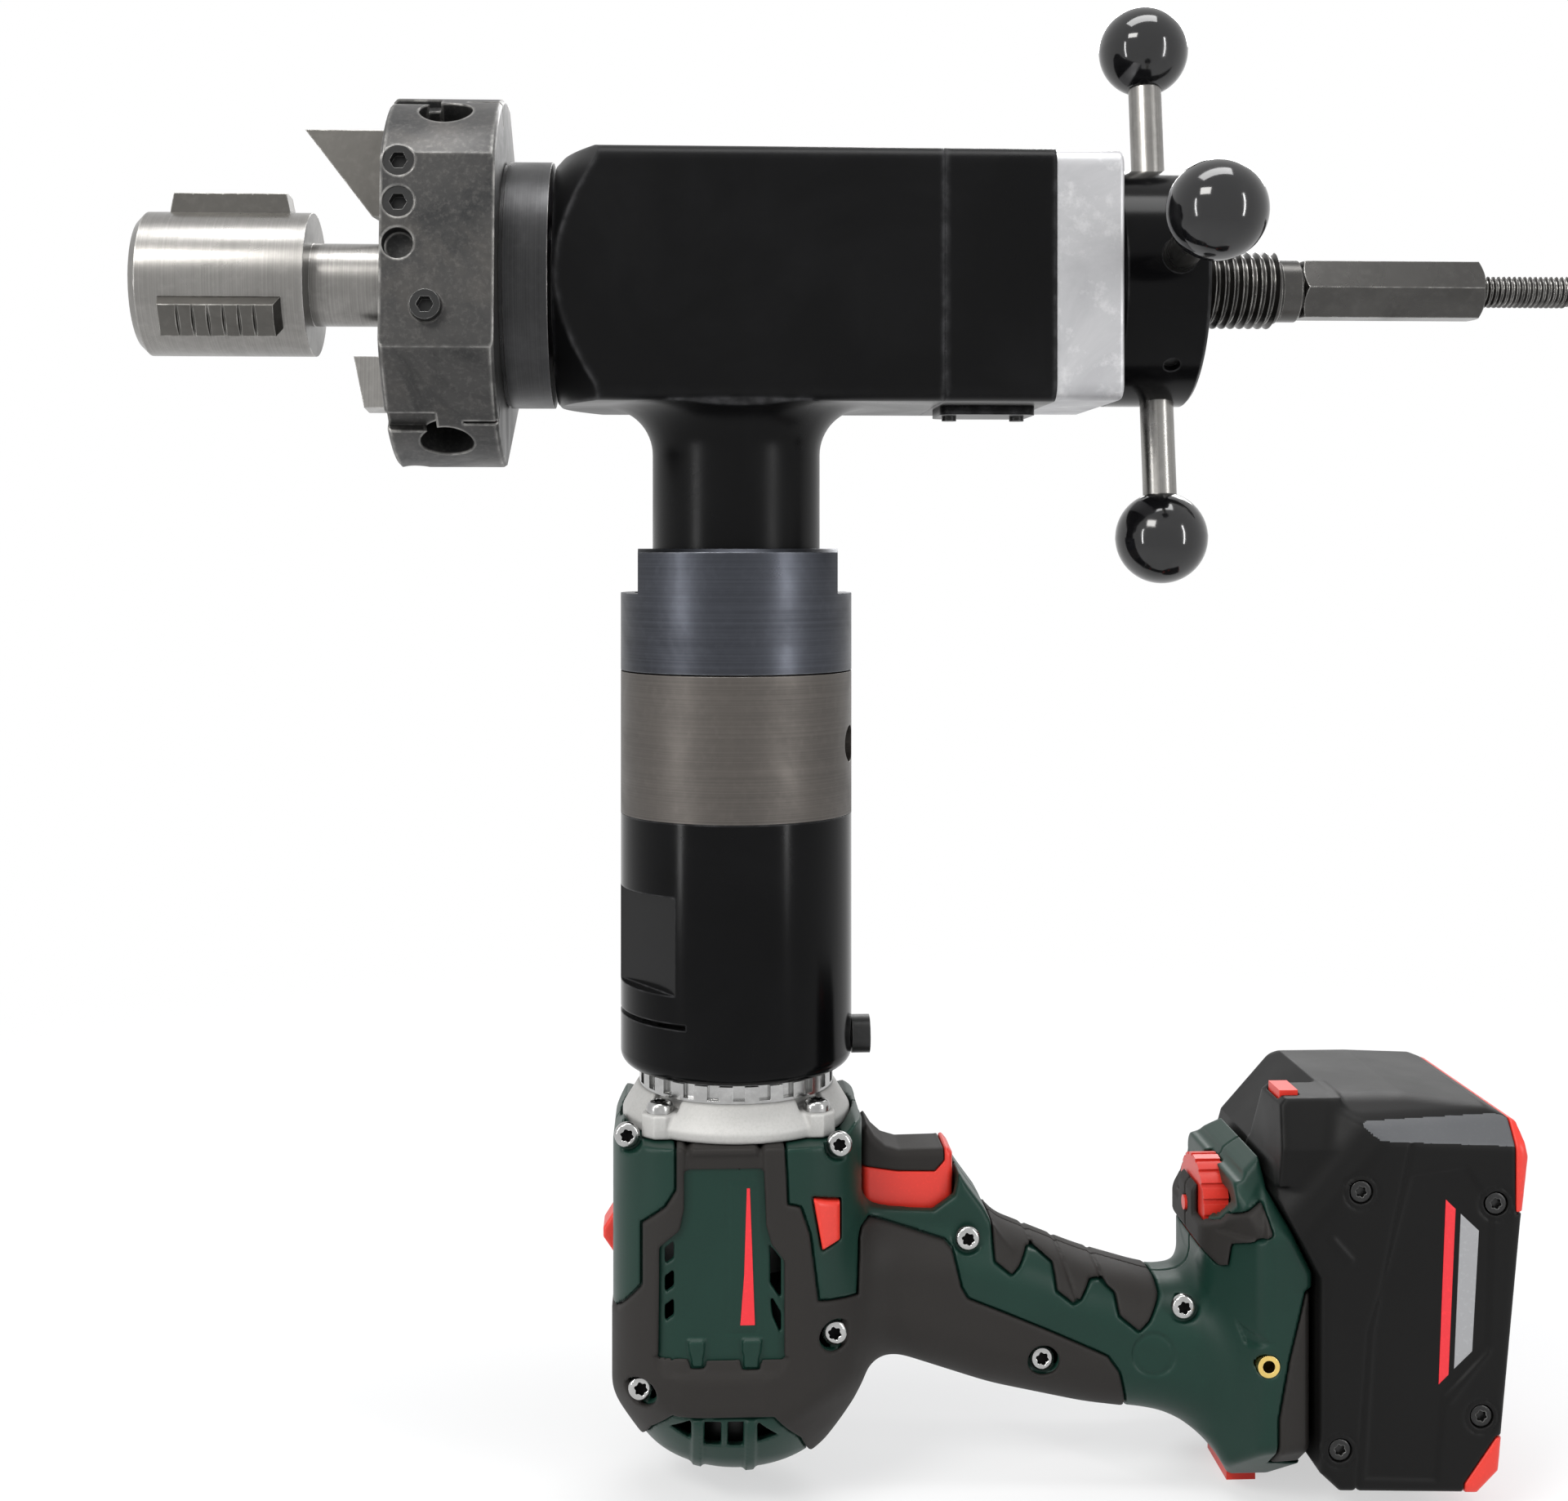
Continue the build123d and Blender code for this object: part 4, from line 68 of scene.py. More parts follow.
class Shader:
    """Node tree of one material, with short names for the nodes used here."""

    def __init__(self, name, base, rough, metal=0.0, level=0.5):
        self.mat = bpy.data.materials.new(name)
        self.mat.use_nodes = True
        self.mat.diffuse_color = (*base, 1)
        self.nodes = self.mat.node_tree.nodes
        self.links = self.mat.node_tree.links
        self.bsdf = self.nodes["Principled BSDF"]
        self.bsdf.inputs["Metallic"].default_value = metal
        self.bsdf.inputs["Specular IOR Level"].default_value = level
        self.place = self.node("ShaderNodeTexCoord").outputs["Object"]
        self.base = base
        self.colour = None
        self.rough = rough
        self.height = None
        self.round = 0.0

    def node(self, kind, **values):
        made = self.nodes.new(kind)
        for key, value in values.items():
            if hasattr(made, key):
                setattr(made, key, value)
            else:
                made.inputs[key].default_value = value
        return made

    def link(self, a, b):
        self.links.new(a, b)

    def maths(self, how, a, b):
        made = self.node("ShaderNodeMath", operation=how)
        for socket, value in ((0, a), (1, b)):
            if isinstance(value, (int, float)):
                made.inputs[socket].default_value = value
            else:
                self.link(value, made.inputs[socket])
        return made.outputs[0]

    def stretched(self, scale):
        made = self.node("ShaderNodeMapping")
        made.inputs["Scale"].default_value = scale
        self.link(self.place, made.inputs["Vector"])
        return made.outputs[0]

    def noise(self, scale, detail=4.0, rough=0.55, stretch=None, distort=0.0):
        made = self.node("ShaderNodeTexNoise", Scale=scale, Detail=detail, Roughness=rough, Distortion=distort)
        self.link(self.stretched(stretch) if stretch else self.place, made.inputs["Vector"])
        return made.outputs["Fac"]

    def ramp(self, value, low, high, first=0.0, last=1.0):
        sizes = {"From Min": low, "From Max": high, "To Min": first, "To Max": last}
        made = self.node("ShaderNodeMapRange", **sizes)
        self.link(value, made.inputs["Value"])
        return made.outputs["Result"]

    def mix(self, factor, first, last):
        made = self.node("ShaderNodeMix", data_type="RGBA")
        self.link(factor, made.inputs["Factor"])
        for socket, value in ((6, first), (7, last)):
            if isinstance(value, tuple):
                made.inputs[socket].default_value = (*value, 1) if len(value) == 3 else value
            else:
                self.link(value, made.inputs[socket])
        return made.outputs[2]

    def tint(self, factor, last, strength=1.0):
        """Mixes a second colour into the base where factor is high."""
        if strength != 1.0:
            factor = self.maths("MULTIPLY", factor, strength)
        self.colour = self.mix(factor, self.base if self.colour is None else self.colour, last)
        return self

    def roughen(self, value, low, high):
        self.rough = self.ramp(value, 0.3, 0.7, low, high)
        return self

    def raise_by(self, value, amount):
        """Adds a height in metres to the bump."""
        scaled = self.maths("MULTIPLY", value, amount)
        self.height = scaled if self.height is None else self.maths("ADD", self.height, scaled)
        return self

    def edges(self, radius, last, strength):
        """Rounds sharp edges in the shading, and shows a lighter colour on them that is partly wear and partly
        a painted edge highlight.
        """
        self.round = radius
        if last is not None:
            # Edge tint: partly wear, partly a painted highlight along the edges.
            soft = self.node("ShaderNodeBevel", samples=4)
            soft.inputs["Radius"].default_value = radius * 1.6
            hard = self.node("ShaderNodeNewGeometry").outputs["Normal"]
            dot = self.node("ShaderNodeVectorMath", operation="DOT_PRODUCT")
            self.link(soft.outputs[0], dot.inputs[0])
            self.link(hard, dot.inputs[1])
            edge = self.ramp(self.maths("SUBTRACT", 1.0, dot.outputs["Value"]), 0.01, 0.11)
            broken = self.ramp(self.noise(260, 5), 0.35, 0.62)
            self.tint(self.maths("MULTIPLY", edge, self.maths("MAXIMUM", broken, 0.35)), last, strength)
        return self

    def turn_marks(self, axis, scale, amount, colour, strength):
        """Fine rings round an axis, from noise on the distance along it."""
        stretch = [3.0, 3.0, 3.0]
        stretch[axis] = scale
        value = self.noise(1.0, 3, 0.6, stretch=tuple(stretch))
        self.raise_by(value, amount)
        self.tint(self.ramp(value, 0.4, 0.75), colour, strength)

    def done(self):
        if self.colour is None:
            self.bsdf.inputs["Base Color"].default_value = (*self.base, 1)
        else:
            self.link(self.colour, self.bsdf.inputs["Base Color"])
        if isinstance(self.rough, (int, float)):
            self.bsdf.inputs["Roughness"].default_value = self.rough
        else:
            self.link(self.rough, self.bsdf.inputs["Roughness"])
        normal = None
        if self.round:
            soft = self.node("ShaderNodeBevel", samples=4)
            soft.inputs["Radius"].default_value = self.round
            normal = soft.outputs[0]
        if self.height is not None:
            bump = self.node("ShaderNodeBump")
            bump.inputs["Distance"].default_value = 1.0
            bump.inputs["Strength"].default_value = 1.0
            self.link(self.height, bump.inputs["Height"])
            if normal is not None:
                self.link(normal, bump.inputs["Normal"])
            normal = bump.outputs[0]
        if normal is not None:
            self.link(normal, self.bsdf.inputs["Normal"])
        return self.mat


def black_metal(name, base, rough, rounding):
    """Black anodised or enamelled metal with faint smears, and lighter edges that are partly wear and partly a
    painted edge highlight.
    """
    s = Shader(name, base, rough, 0.0, 0.09)
    smear = s.noise(22, 5, 0.6, distort=0.6)
    s.tint(s.ramp(smear, 0.45, 0.75), tuple(2.6 * c for c in base), 0.4)
    s.roughen(smear, rough * 0.85, rough * 1.25)
    s.raise_by(s.noise(900, 2), 0.0000025)
    s.edges(rounding, (0.11, 0.11, 0.115), 0.4)
    return s.done()


def steel(name, base, rough, axis=None, marks=2600, depth=0.0000035, spots=None, edge_wear_and_highlight=None,
          rounding=0.0003, aniso=0.0, metal=1.0):
    """Machined steel with turning or grinding marks, stains, and bright edges that are partly wear and partly a
    painted edge highlight.
    """
    s = Shader(name, base, rough, metal)
    cloud = s.noise(34, 6, 0.62, distort=0.8)
    s.tint(s.ramp(cloud, 0.4, 0.72), spots or tuple(0.55 * c for c in base), 0.75)
    fine = s.noise(420, 4)
    s.tint(s.ramp(fine, 0.5, 0.8), tuple(min(1, 1.5 * c) for c in base), 0.3)
    s.roughen(cloud, rough * 0.82, rough * 1.25)
    if axis is not None:
        s.turn_marks(axis, marks, depth, tuple(min(1, 1.7 * c) for c in base), 0.4)
        s.bsdf.inputs["Anisotropic"].default_value = aniso
        if aniso:
            tangent = s.node("ShaderNodeTangent", direction_type="RADIAL", axis="XYZ"[axis])
            s.link(tangent.outputs[0], s.bsdf.inputs["Tangent"])
    else:
        s.raise_by(fine, depth)
    s.edges(rounding, edge_wear_and_highlight or tuple(min(1, 2.6 * c + 0.1) for c in base), 0.85)
    return s.done()


def plastic(name, base, rough, grain, depth, lighter=1.25, level=0.4, rounding=0.0002, edge_wear_and_highlight=None):
    """Moulded plastic with spark-eroded texture, slight colour drift and softer edges; a given edge colour is
    partly wear and partly a painted edge highlight.
    """
    s = Shader(name, base, rough, 0.0, level)
    drift = s.noise(30, 4, 0.6)
    s.tint(s.ramp(drift, 0.4, 0.7), tuple(lighter * c for c in base), 0.5)
    texture = s.noise(grain, 3, 0.65)
    s.tint(s.ramp(texture, 0.55, 0.75), tuple(1.5 * c for c in base), 0.35)
    s.roughen(drift, rough * 0.9, rough * 1.15)
    s.raise_by(texture, depth)
    if rounding:
        s.edges(rounding, edge_wear_and_highlight, 0.35)
    return s.done()


def mottled_steel():
    s = Shader("mottled_dark_steel", (0.054, 0.053, 0.052), 0.44, 0.85)
    cloud = s.noise(26, 7, 0.66, distort=1.2)
    s.tint(s.ramp(cloud, 0.42, 0.62), (0.021, 0.022, 0.023), 0.8)
    warm = s.noise(60, 5, 0.6, distort=0.5)
    s.tint(s.ramp(warm, 0.52, 0.78), (0.09, 0.084, 0.077), 0.6)
    fine = s.noise(700, 4, 0.7)
    s.tint(s.ramp(fine, 0.5, 0.85), (0.2, 0.19, 0.18), 0.3)
    s.roughen(cloud, 0.34, 0.56)
    s.raise_by(fine, 0.000012)
    s.raise_by(s.noise(1.0, 3, 0.6, stretch=(900, 60, 60)), 0.000004)
    # Lighter edges: partly wear, partly a painted edge highlight.
    s.edges(0.0008, (0.5, 0.49, 0.47), 0.8)
    return s.done()


# Near-black for the floor and wall of the screw recesses: painted shade inside the recess.
def recess_shade_material():
    s = Shader("screw_recess_painted_shade", (0.003, 0.003, 0.003), 0.8, 0.0, 0.1)
    s.tint(s.ramp(s.noise(200, 3), 0.4, 0.7), (0.008, 0.008, 0.008), 0.6)
    return s.done()


def ball_black():
    s = Shader("polished_black_ball", (0.004, 0.004, 0.0045), 0.09, 0.0, 0.55)
    haze = s.noise(60, 6, 0.65, distort=0.4)
    s.roughen(haze, 0.05, 0.16)
    s.tint(s.ramp(haze, 0.55, 0.8), (0.014, 0.014, 0.015), 0.5)
    s.raise_by(s.noise(180, 2), 0.000002)
    return s.done()


def aluminium():
    s = Shader("bare_aluminium_plate", (0.47, 0.47, 0.48), 0.42, 0.75, 0.5)
    cloud = s.noise(30, 6, 0.62, distort=1.0)
    s.tint(s.ramp(cloud, 0.42, 0.68), (0.35, 0.35, 0.362), 0.75)
    s.tint(s.ramp(s.noise(140, 5, 0.7), 0.55, 0.8), (0.8, 0.8, 0.8), 0.5)
    s.roughen(cloud, 0.34, 0.55)
    s.raise_by(s.noise(1.0, 2, 0.6, stretch=(2600, 160, 160)), 0.0000025)
    # Lighter edges: partly wear, partly a painted edge highlight.
    s.edges(0.0006, (0.92, 0.92, 0.92), 0.85)
    return s.done()


def cast():
    s = Shader("blasted_cast_aluminium", (0.44, 0.435, 0.42), 0.62, 0.35, 0.35)
    grain = s.noise(1400, 4, 0.7)
    s.tint(s.ramp(grain, 0.45, 0.7), (0.36, 0.355, 0.34), 0.6)
    s.tint(s.ramp(s.noise(45, 5), 0.45, 0.75), (0.52, 0.515, 0.50), 0.6)
    s.raise_by(grain, 0.000016)
    # Lighter edges: partly wear, partly a painted edge highlight.
    s.edges(0.0004, (0.85, 0.84, 0.82), 0.6)
    return s.done()


# Edge colours given below are partly wear and partly painted edge highlights.
MAT = {
    "black_anodised": black_metal("satin_black_anodised", (0.0026, 0.0026, 0.0028), 0.3, 0.0016),
    "gloss_black": black_metal("gloss_black_enamel", (0.0018, 0.0018, 0.002), 0.15, 0.0005),
    "bare_aluminium": aluminium(),
    "cast_aluminium": cast(),
    "dark_steel": mottled_steel(),
    "turned_steel": steel("turned_dark_steel", (0.042, 0.042, 0.043), 0.3, 0, 2400, 0.000004,
                          edge_wear_and_highlight=(0.34, 0.33, 0.32), aniso=0.5),
    "blue_steel": steel("blued_turned_steel", (0.048, 0.051, 0.060), 0.33, 2, 2100, 0.000006,
                        edge_wear_and_highlight=(0.24, 0.25, 0.27), aniso=0.55),
    "brown_steel": steel("brown_satin_steel", (0.082, 0.074, 0.067), 0.42, 2, 3200, 0.000002,
                         spots=(0.060, 0.055, 0.051), edge_wear_and_highlight=(0.2, 0.19, 0.18), aniso=0.3, metal=0.8),
    "bright_steel": steel("bright_machined_steel", (0.22, 0.214, 0.204), 0.3, 0, 1800, 0.000003,
                          edge_wear_and_highlight=(0.7, 0.69, 0.67)),
    "tool_steel": steel("ground_tool_steel", (0.105, 0.101, 0.094), 0.36, None, 0, 0.000005,
                        edge_wear_and_highlight=(0.6, 0.59, 0.56)),
    "screw_steel": steel("zinc_plated_steel", (0.42, 0.42, 0.415), 0.2, None, 0, 0.000003,
                         edge_wear_and_highlight=(0.85, 0.85, 0.84), rounding=0.00012),
    "black_screw": steel("black_oxide_screw", (0.028, 0.028, 0.028), 0.34, None, 0, 0.000003,
                         edge_wear_and_highlight=(0.30, 0.30, 0.29), rounding=0.00018, metal=0.7),
    "bronze": steel("bearing_bronze", (0.42, 0.27, 0.13), 0.34, 0, 1600, 0.000003),
    "brass": steel("turned_brass", (0.72, 0.48, 0.15), 0.22, 1, 2600, 0.000003, edge_wear_and_highlight=(0.95, 0.75, 0.4),
                   rounding=0.00012),
    "black_ball": ball_black(),
    "green_shell": plastic("green_shell_plastic", (0.0056, 0.0245, 0.0175), 0.38, 1500, 0.000010,
                           level=0.2, edge_wear_and_highlight=(0.02, 0.062, 0.049)),
    "soft_grip": plastic("soft_dark_overmould", (0.0165, 0.0148, 0.0135), 0.62, 1900, 0.000016, 1.2, 0.2,
                         edge_wear_and_highlight=(0.04, 0.037, 0.035)),
    "red_plastic": plastic("satin_red_plastic", (0.60, 0.030, 0.018), 0.36, 1200, 0.000005, 1.08, 0.4,
                           edge_wear_and_highlight=(0.86, 0.15, 0.11)),
    "battery_plastic": plastic("battery_black_plastic", (0.0036, 0.0035, 0.0034), 0.44, 1500, 0.000014, 1.35,
                               0.14, edge_wear_and_highlight=(0.03, 0.03, 0.03)),
    "motor_can": steel("motor_can_steel", (0.02, 0.02, 0.02), 0.4, 2, 1400, 0.000004),
}
RECESS_SHADE = recess_shade_material()
# Lighter grey for the battery's rim bevels: a painted highlight where they catch the light.
BEVEL_HIGHLIGHT_GREY = plastic("battery_bevel_painted_highlight", (0.062, 0.064, 0.068), 0.38, 1400, 0.000008, 1.3, 0.45)
LABEL_GREY = plastic("label_grey", (0.26, 0.262, 0.268), 0.5, 900, 0.000003, 1.1, 0.35, rounding=0)
LABEL_RED = plastic("label_red", (0.62, 0.02, 0.028), 0.45, 900, 0.000003, 1.1, 0.35, rounding=0)

for entry in frame["record"]["subparts"]:
    node = frame["nodes"][entry["node"]]
    node.data.materials.clear()
    node.data.materials.append(MAT[entry["material_slot"]])


# ---- Meshes ----

def piece(name, verts, faces, body, slot, materials=None, index=None, smooth=True, sharp=None):
    """New mesh object in metres from points in millimetres, riding on a body."""
    mesh = bpy.data.meshes.new(name)
    verts = np.asarray(verts, float) * MM
    if isinstance(faces, np.ndarray):
        mesh.vertices.add(len(verts))
        mesh.vertices.foreach_set("co", verts.ravel())
        width = faces.shape[1]
        mesh.loops.add(faces.size)
        mesh.loops.foreach_set("vertex_index", faces.ravel().astype(np.int32))
        mesh.polygons.add(len(faces))
        mesh.polygons.foreach_set("loop_start", np.arange(len(faces), dtype=np.int32) * width)
    else:
        mesh.from_pydata([tuple(v) for v in verts], [], [tuple(int(i) for i in f) for f in faces])
    for material in materials or [MAT[slot]]:
        mesh.materials.append(material)
    if index is not None:
        mesh.polygons.foreach_set("material_index", np.asarray(index, np.int32))
    mesh.polygons.foreach_set("use_smooth", np.full(len(mesh.polygons), smooth))
    mesh.update(calc_edges=True)
    mesh.validate()
    made = bpy.data.objects.new(name, mesh)
    bpy.context.scene.collection.objects.link(made)
    if sharp:
        crease(made, sharp)
    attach(made, body)
    return made


def crease(made, degrees):
    """Marks the edges sharper than an angle, so the rest shades smoothly."""
    work = bmesh.new()
    work.from_mesh(made.data)
    limit = math.radians(degrees)
    for edge in work.edges:
        edge.smooth = len(edge.link_faces) != 2 or edge.calc_face_angle(0.0) < limit
    work.to_mesh(made.data)
    work.free()


def lathe(profile, steps, origin, axis, wobble=None):
    """Points and faces of a profile of (radius, height) turned round an axis."""
    axis = Vector(axis).normalized()
    side = axis.orthogonal()
    side = (side - axis * side.dot(axis)).normalized()
    other = axis.cross(side)
    verts, faces = [], []
    count = len(profile)
    for k in range(steps):
        a = 2 * math.pi * k / steps
        for j, (radius, height) in enumerate(profile):
            r = radius if wobble is None else wobble(radius, height, a, j)
            verts.append(Vector(origin) + axis * height + side * (r * math.cos(a)) + other * (r * math.sin(a)))
    for k in range(steps):
        n = (k + 1) % steps
        for j in range(count - 1):
            faces.append((k * count + j, n * count + j, n * count + j + 1, k * count + j + 1))
    return [tuple(v) for v in verts], faces


def join(parts):
    """Several (points, faces) as one."""
    verts, faces = [], []
    for v, f in parts:
        base = len(verts)
        verts += [tuple(p) for p in v]
        faces += [tuple(i + base for i in face) for face in f]
    return verts, faces


def islands(node):
    """Lowest and highest corners in millimetres of each loose part of a CAD node."""
    work = bmesh.new()
    work.from_mesh(frame["nodes"][node].data)
    bmesh.ops.remove_doubles(work, verts=work.verts, dist=1e-7)
    left, boxes = set(work.verts), []
    while left:
        stack, mine = [left.pop()], []
        while stack:
            vert = stack.pop()
            mine.append(vert.co.copy())
            for edge in vert.link_edges:
                far = edge.other_vert(vert)
                if far in left:
                    left.remove(far)
                    stack.append(far)
        co = np.array(mine) / MM
        boxes.append((co.min(0), co.max(0)))
    work.free()
    return sorted(boxes, key=lambda b: tuple(np.round(b[0], 2)))


# ---- Implicit forms ----

def smax(a, b, k):
    h = np.clip(0.5 - 0.5 * (b - a) / k, 0, 1)
    return b + (a - b) * h + k * h * (1 - h)


def smin(a, b, k):
    return -smax(-a, -b, k)


def outline_distance(points, u, v):
    """Signed distance to a closed outline, negative inside."""
    best, inside = None, None
    for (x0, y0), (x1, y1) in zip(points, points[1:] + points[:1]):
        ex, ey = x1 - x0, y1 - y0
        wx, wy = u - x0, v - y0
        t = np.clip((wx * ex + wy * ey) / (ex * ex + ey * ey + 1e-9), 0, 1)
        d = (wx - ex * t) ** 2 + (wy - ey * t) ** 2
        best = d if best is None else np.minimum(best, d)
        if y0 != y1:
            hit = ((y0 > v) != (y1 > v)) & (u < (x1 - x0) * (v - y0) / (y1 - y0) + x0)
            inside = hit if inside is None else inside ^ hit
    best = np.sqrt(best)
    return np.where(inside, -best, best).astype(np.float32)


def box_distance(a, b, half_a, half_b, corner):
    """Signed distance to a rounded rectangle about the origin."""
    qa, qb = np.abs(a) - half_a + corner, np.abs(b) - half_b + corner
    return np.sqrt(np.maximum(qa, 0) ** 2 + np.maximum(qb, 0) ** 2) + np.minimum(np.maximum(qa, qb), 0) - corner


def block_distance(x, y, z, low, high, corner=0.4):
    """Signed distance to a block between two corners."""
    out = None
    square = 0.0
    for value, a, b in ((x, low[0], high[0]), (y, low[1], high[1]), (z, low[2], high[2])):
        q = np.abs(value - (a + b) / 2) - (b - a) / 2 + corner
        out = q if out is None else np.maximum(out, q)
        square = square + np.maximum(q, 0) ** 2
    return np.sqrt(square) + np.minimum(out, 0) - corner


def even_block(x, y, z, x0, x1, half, z0, z1, corner):
    """Signed distance to a block that is symmetric about Y = 0."""
    return block_distance(x, y, z, (x0, -half, z0), (x1, half, z1), corner)


def round_distance(x, z, middle_x, middle_z):
    """Distance in X and Z from a line along Y."""
    return np.sqrt((x - middle_x) ** 2 + (z - middle_z) ** 2)


def net(field, low, step):
    """Surface net of a sampled field: points in millimetres and quads."""
    inside = field < 0
    count = np.zeros(tuple(n - 1 for n in field.shape), np.uint8)
    for i in (0, 1):
        for j in (0, 1):
            for k in (0, 1):
                count += inside[i:i + count.shape[0], j:j + count.shape[1], k:k + count.shape[2]]
    mixed = (count > 0) & (count < 8)
    cells = np.argwhere(mixed)
    number = np.full(mixed.shape, -1, np.int32)
    number[mixed] = np.arange(len(cells))
    total, hits = np.zeros((len(cells), 3)), np.zeros(len(cells))
    corners = [(i, j, k) for i in (0, 1) for j in (0, 1) for k in (0, 1)]
    value = {c: field[cells[:, 0] + c[0], cells[:, 1] + c[1], cells[:, 2] + c[2]] for c in corners}
    for a in corners:
        for axis in range(3):
            if a[axis]:
                continue
            b = tuple(1 if n == axis else a[n] for n in range(3))
            va, vb = value[a], value[b]
            crossing = (va < 0) != (vb < 0)
            t = np.where(crossing, va / np.where(crossing, va - vb, 1), 0)
            point = np.tile(np.array(a, float), (len(cells), 1))
            point[:, axis] = t
            total[crossing] += point[crossing]
            hits[crossing] += 1
    verts = (cells + total / hits[:, None]) * step + np.array(low)
    quads = []
    for axis in range(3):
        u, v = (axis + 1) % 3, (axis + 2) % 3
        size = list(field.shape)
        size[axis] -= 1
        sl_a, sl_b = [slice(None)] * 3, [slice(None)] * 3
        sl_a[axis], sl_b[axis] = slice(0, -1), slice(1, None)
        a, b = inside[tuple(sl_a)], inside[tuple(sl_b)]
        at = np.argwhere(a != b)
        keep = (at[:, u] > 0) & (at[:, v] > 0)
        keep &= (at[:, u] < field.shape[u] - 1) & (at[:, v] < field.shape[v] - 1)
        at = at[keep]
        forward = a[tuple(at.T)]
        ring = []
        for du, dv in ((1, 1), (0, 1), (0, 0), (1, 0)):
            cell = at.copy()
            cell[:, u] -= du
            cell[:, v] -= dv
            ring.append(number[tuple(cell.T)])
        ring = np.stack(ring, 1)
        ring[~forward] = ring[~forward][:, ::-1]
        quads.append(ring)
    return verts, np.concatenate(quads)


def samples(low, high, step):
    """Three broadcasting axes of sample points."""
    axes = [np.arange(a, b + step, step, dtype=np.float32) for a, b in zip(low, high)]
    return axes[0][:, None, None], axes[1][None, :, None], axes[2][None, None, :]


# ---- Drill body ----

GRID = 0.5
HALF, CORNER = 33.4, 20.0
LUG_ANGLES, LUG_RADIUS = [math.radians(a) for a in (45, 135, 225, 315)], 29.4
FLANGE_RADIUS, FLANGE_TOP_RADIUS = 31.3, 27.0
WHEEL_X, WHEEL_Z = 233.5, -254.0
INSERT_X, INSERT_Z = 241.9, -286.7
CUT_BLEND = 0.4
TORX_SEAT, TORX_HOLE, TORX_BOSS = 4.25, 1.6, 6.0

# Rooms in the shells: X from, X to, half width, Z from, Z to, corner
TRIGGER_ROOM = (136.2, 162.7, 9.0, -266, -210, 1.0)
SELECTOR_ROOM = (60, 74.5, 6.5, -269, -247, 0.8)
WHEEL_ROOM = (220, 238.5, 26, -241, -210, 2.0)
RELEASE_ROOM = (236.7, 245.3, 10.4, -330, -318, 0.4)
RAIL_ROOM = (247.6, 262, 20.5, -312.5, -210, 0.4)
RAIL_SLOT = (247.6, 251.5, 24.5, -312.5, -210, 0.4)
END_Z, SHOULDER_Z, EAR_HEIGHT = -320.0, -227.8, 3.4
END_PROFILE = [(1.42, 1.32), (0.99, 0.5), (0.86, 0.3), (0.73, 0.15), (0.42, 0.0)]
WALL, SKIN = 3.4, 1.5
SEAM = 0.06

# Handle: distance along X, top, bottom and half width
GRIP = [(126, -246.9, -298.8, 24.6), (145, -250.4, -291.5, 18.4), (172, -256.1, -300.6, 17.0),
        (198, -266.7, -306.3, 17.3), (220, -273.3, -308.9, 19.0), (240, -269.3, -320.8, 24.1)]

# Outlines seen from the side, in X and Z
FOOT = [(229, -249), (233, -243), (240.5, -237.5), (243.4, -235.6), (243.9, -243), (253.7, -262.5),
        (253.7, -317), (247, -323.8), (236.5, -323.8), (229.2, -311)]
SOFT = [(86.3, -219), (86.3, -238.4), (83.6, -242.8), (77.5, -247.7), (77.5, -264), (70.7, -273),
        (62, -277), (62, -332), (150, -332), (212, -322), (208.4, -303), (206, -294), (202.8, -289.6),
        (186.7, -282.5), (165, -273.5), (163.2, -270.5), (161, -260.8), (159, -258.6), (138.4, -252),
        (135.8, -253), (135, -255.3), (134.3, -269.3), (123.7, -268), (121.5, -250.5), (119, -243),
        (115.7, -242.3), (114.6, -219)]
PANEL = [(88.9, -233.9), (88.9, -243.3), (87.7, -249), (82.5, -253.7), (82.2, -281.6), (114.3, -281.6),
         (114.3, -257.3), (111, -253), (109.6, -248), (109, -233.9)]
TABS = [[(89.6, -277.5), (94, -277.5), (93.6, -284.4), (90.6, -284.4)],
        [(103.7, -277.5), (108.8, -277.5), (107.9, -284.9), (103.9, -284.9)]]
LEDGE_TOP, LEDGE_LOW = -281.6, -287.2
LOWER_FACE = [(86.5, -287), (112, -287), (111, -297), (87, -297)]
BROW = [(88.9, -219), (90.4, -229.6), (107.5, -229.6), (108.8, -219)]
CAP = [(85.7, -297.8), (111.8, -297.8), (119, -306.4), (124, -320), (124, -332), (76, -332), (76, -316),
       (80.4, -304)]
CAP_SLOTS = [[(85.2, -302), (90.4, -298.6), (90.4, -305.2)],
             [(93.9, -299), (98.2, -299), (98.2, -306.4), (93.9, -306.4)],
             [(100, -299), (104, -299), (104, -306.4), (100, -306.4)],
             [(107.6, -299), (113, -303.6), (107.8, -305.2)]]
CAP_RIBS = [(90.6, 93.4), (104.6, 107.4)]
LEFT_VENTS = [[(83.6, top), (85.9, top + 2), (85.9, top - 2.3), (83.6, top - 4.3)]
              for top in (-254, -261.4, -268.9)]
RIGHT_VENTS = [[(111, -253.4), (113.8, -257), (113.8, -267.4), (111, -263.4)],
               [(111, -266.2), (113.8, -271), (113.8, -276.6), (111.6, -271.8)]]
FINGERS = [(170.6, -236), (171.1, -261.5), (175.7, -265.1), (178, -263.2), (180.7, -259.4), (183.4, -260.2),
           (187.4, -263.3), (187.8, -269.4), (192.5, -273), (194.5, -272), (197.7, -267.8), (200, -267.8),
           (204, -271), (204.7, -276.2), (210, -280.3), (213, -277.8), (216.7, -272.3), (218.2, -236)]
FINGER_LINES = [(180.9, 0.35), (189.5, 0.35), (200.3, 0.35)]
BRACKET = [(226, -240), (231.2, -243.5), (232.1, -251), (241.7, -245.5), (243, -252.3), (234.3, -257.1),
           (233.6, -263.2), (231.8, -264.1), (226, -259.4)]
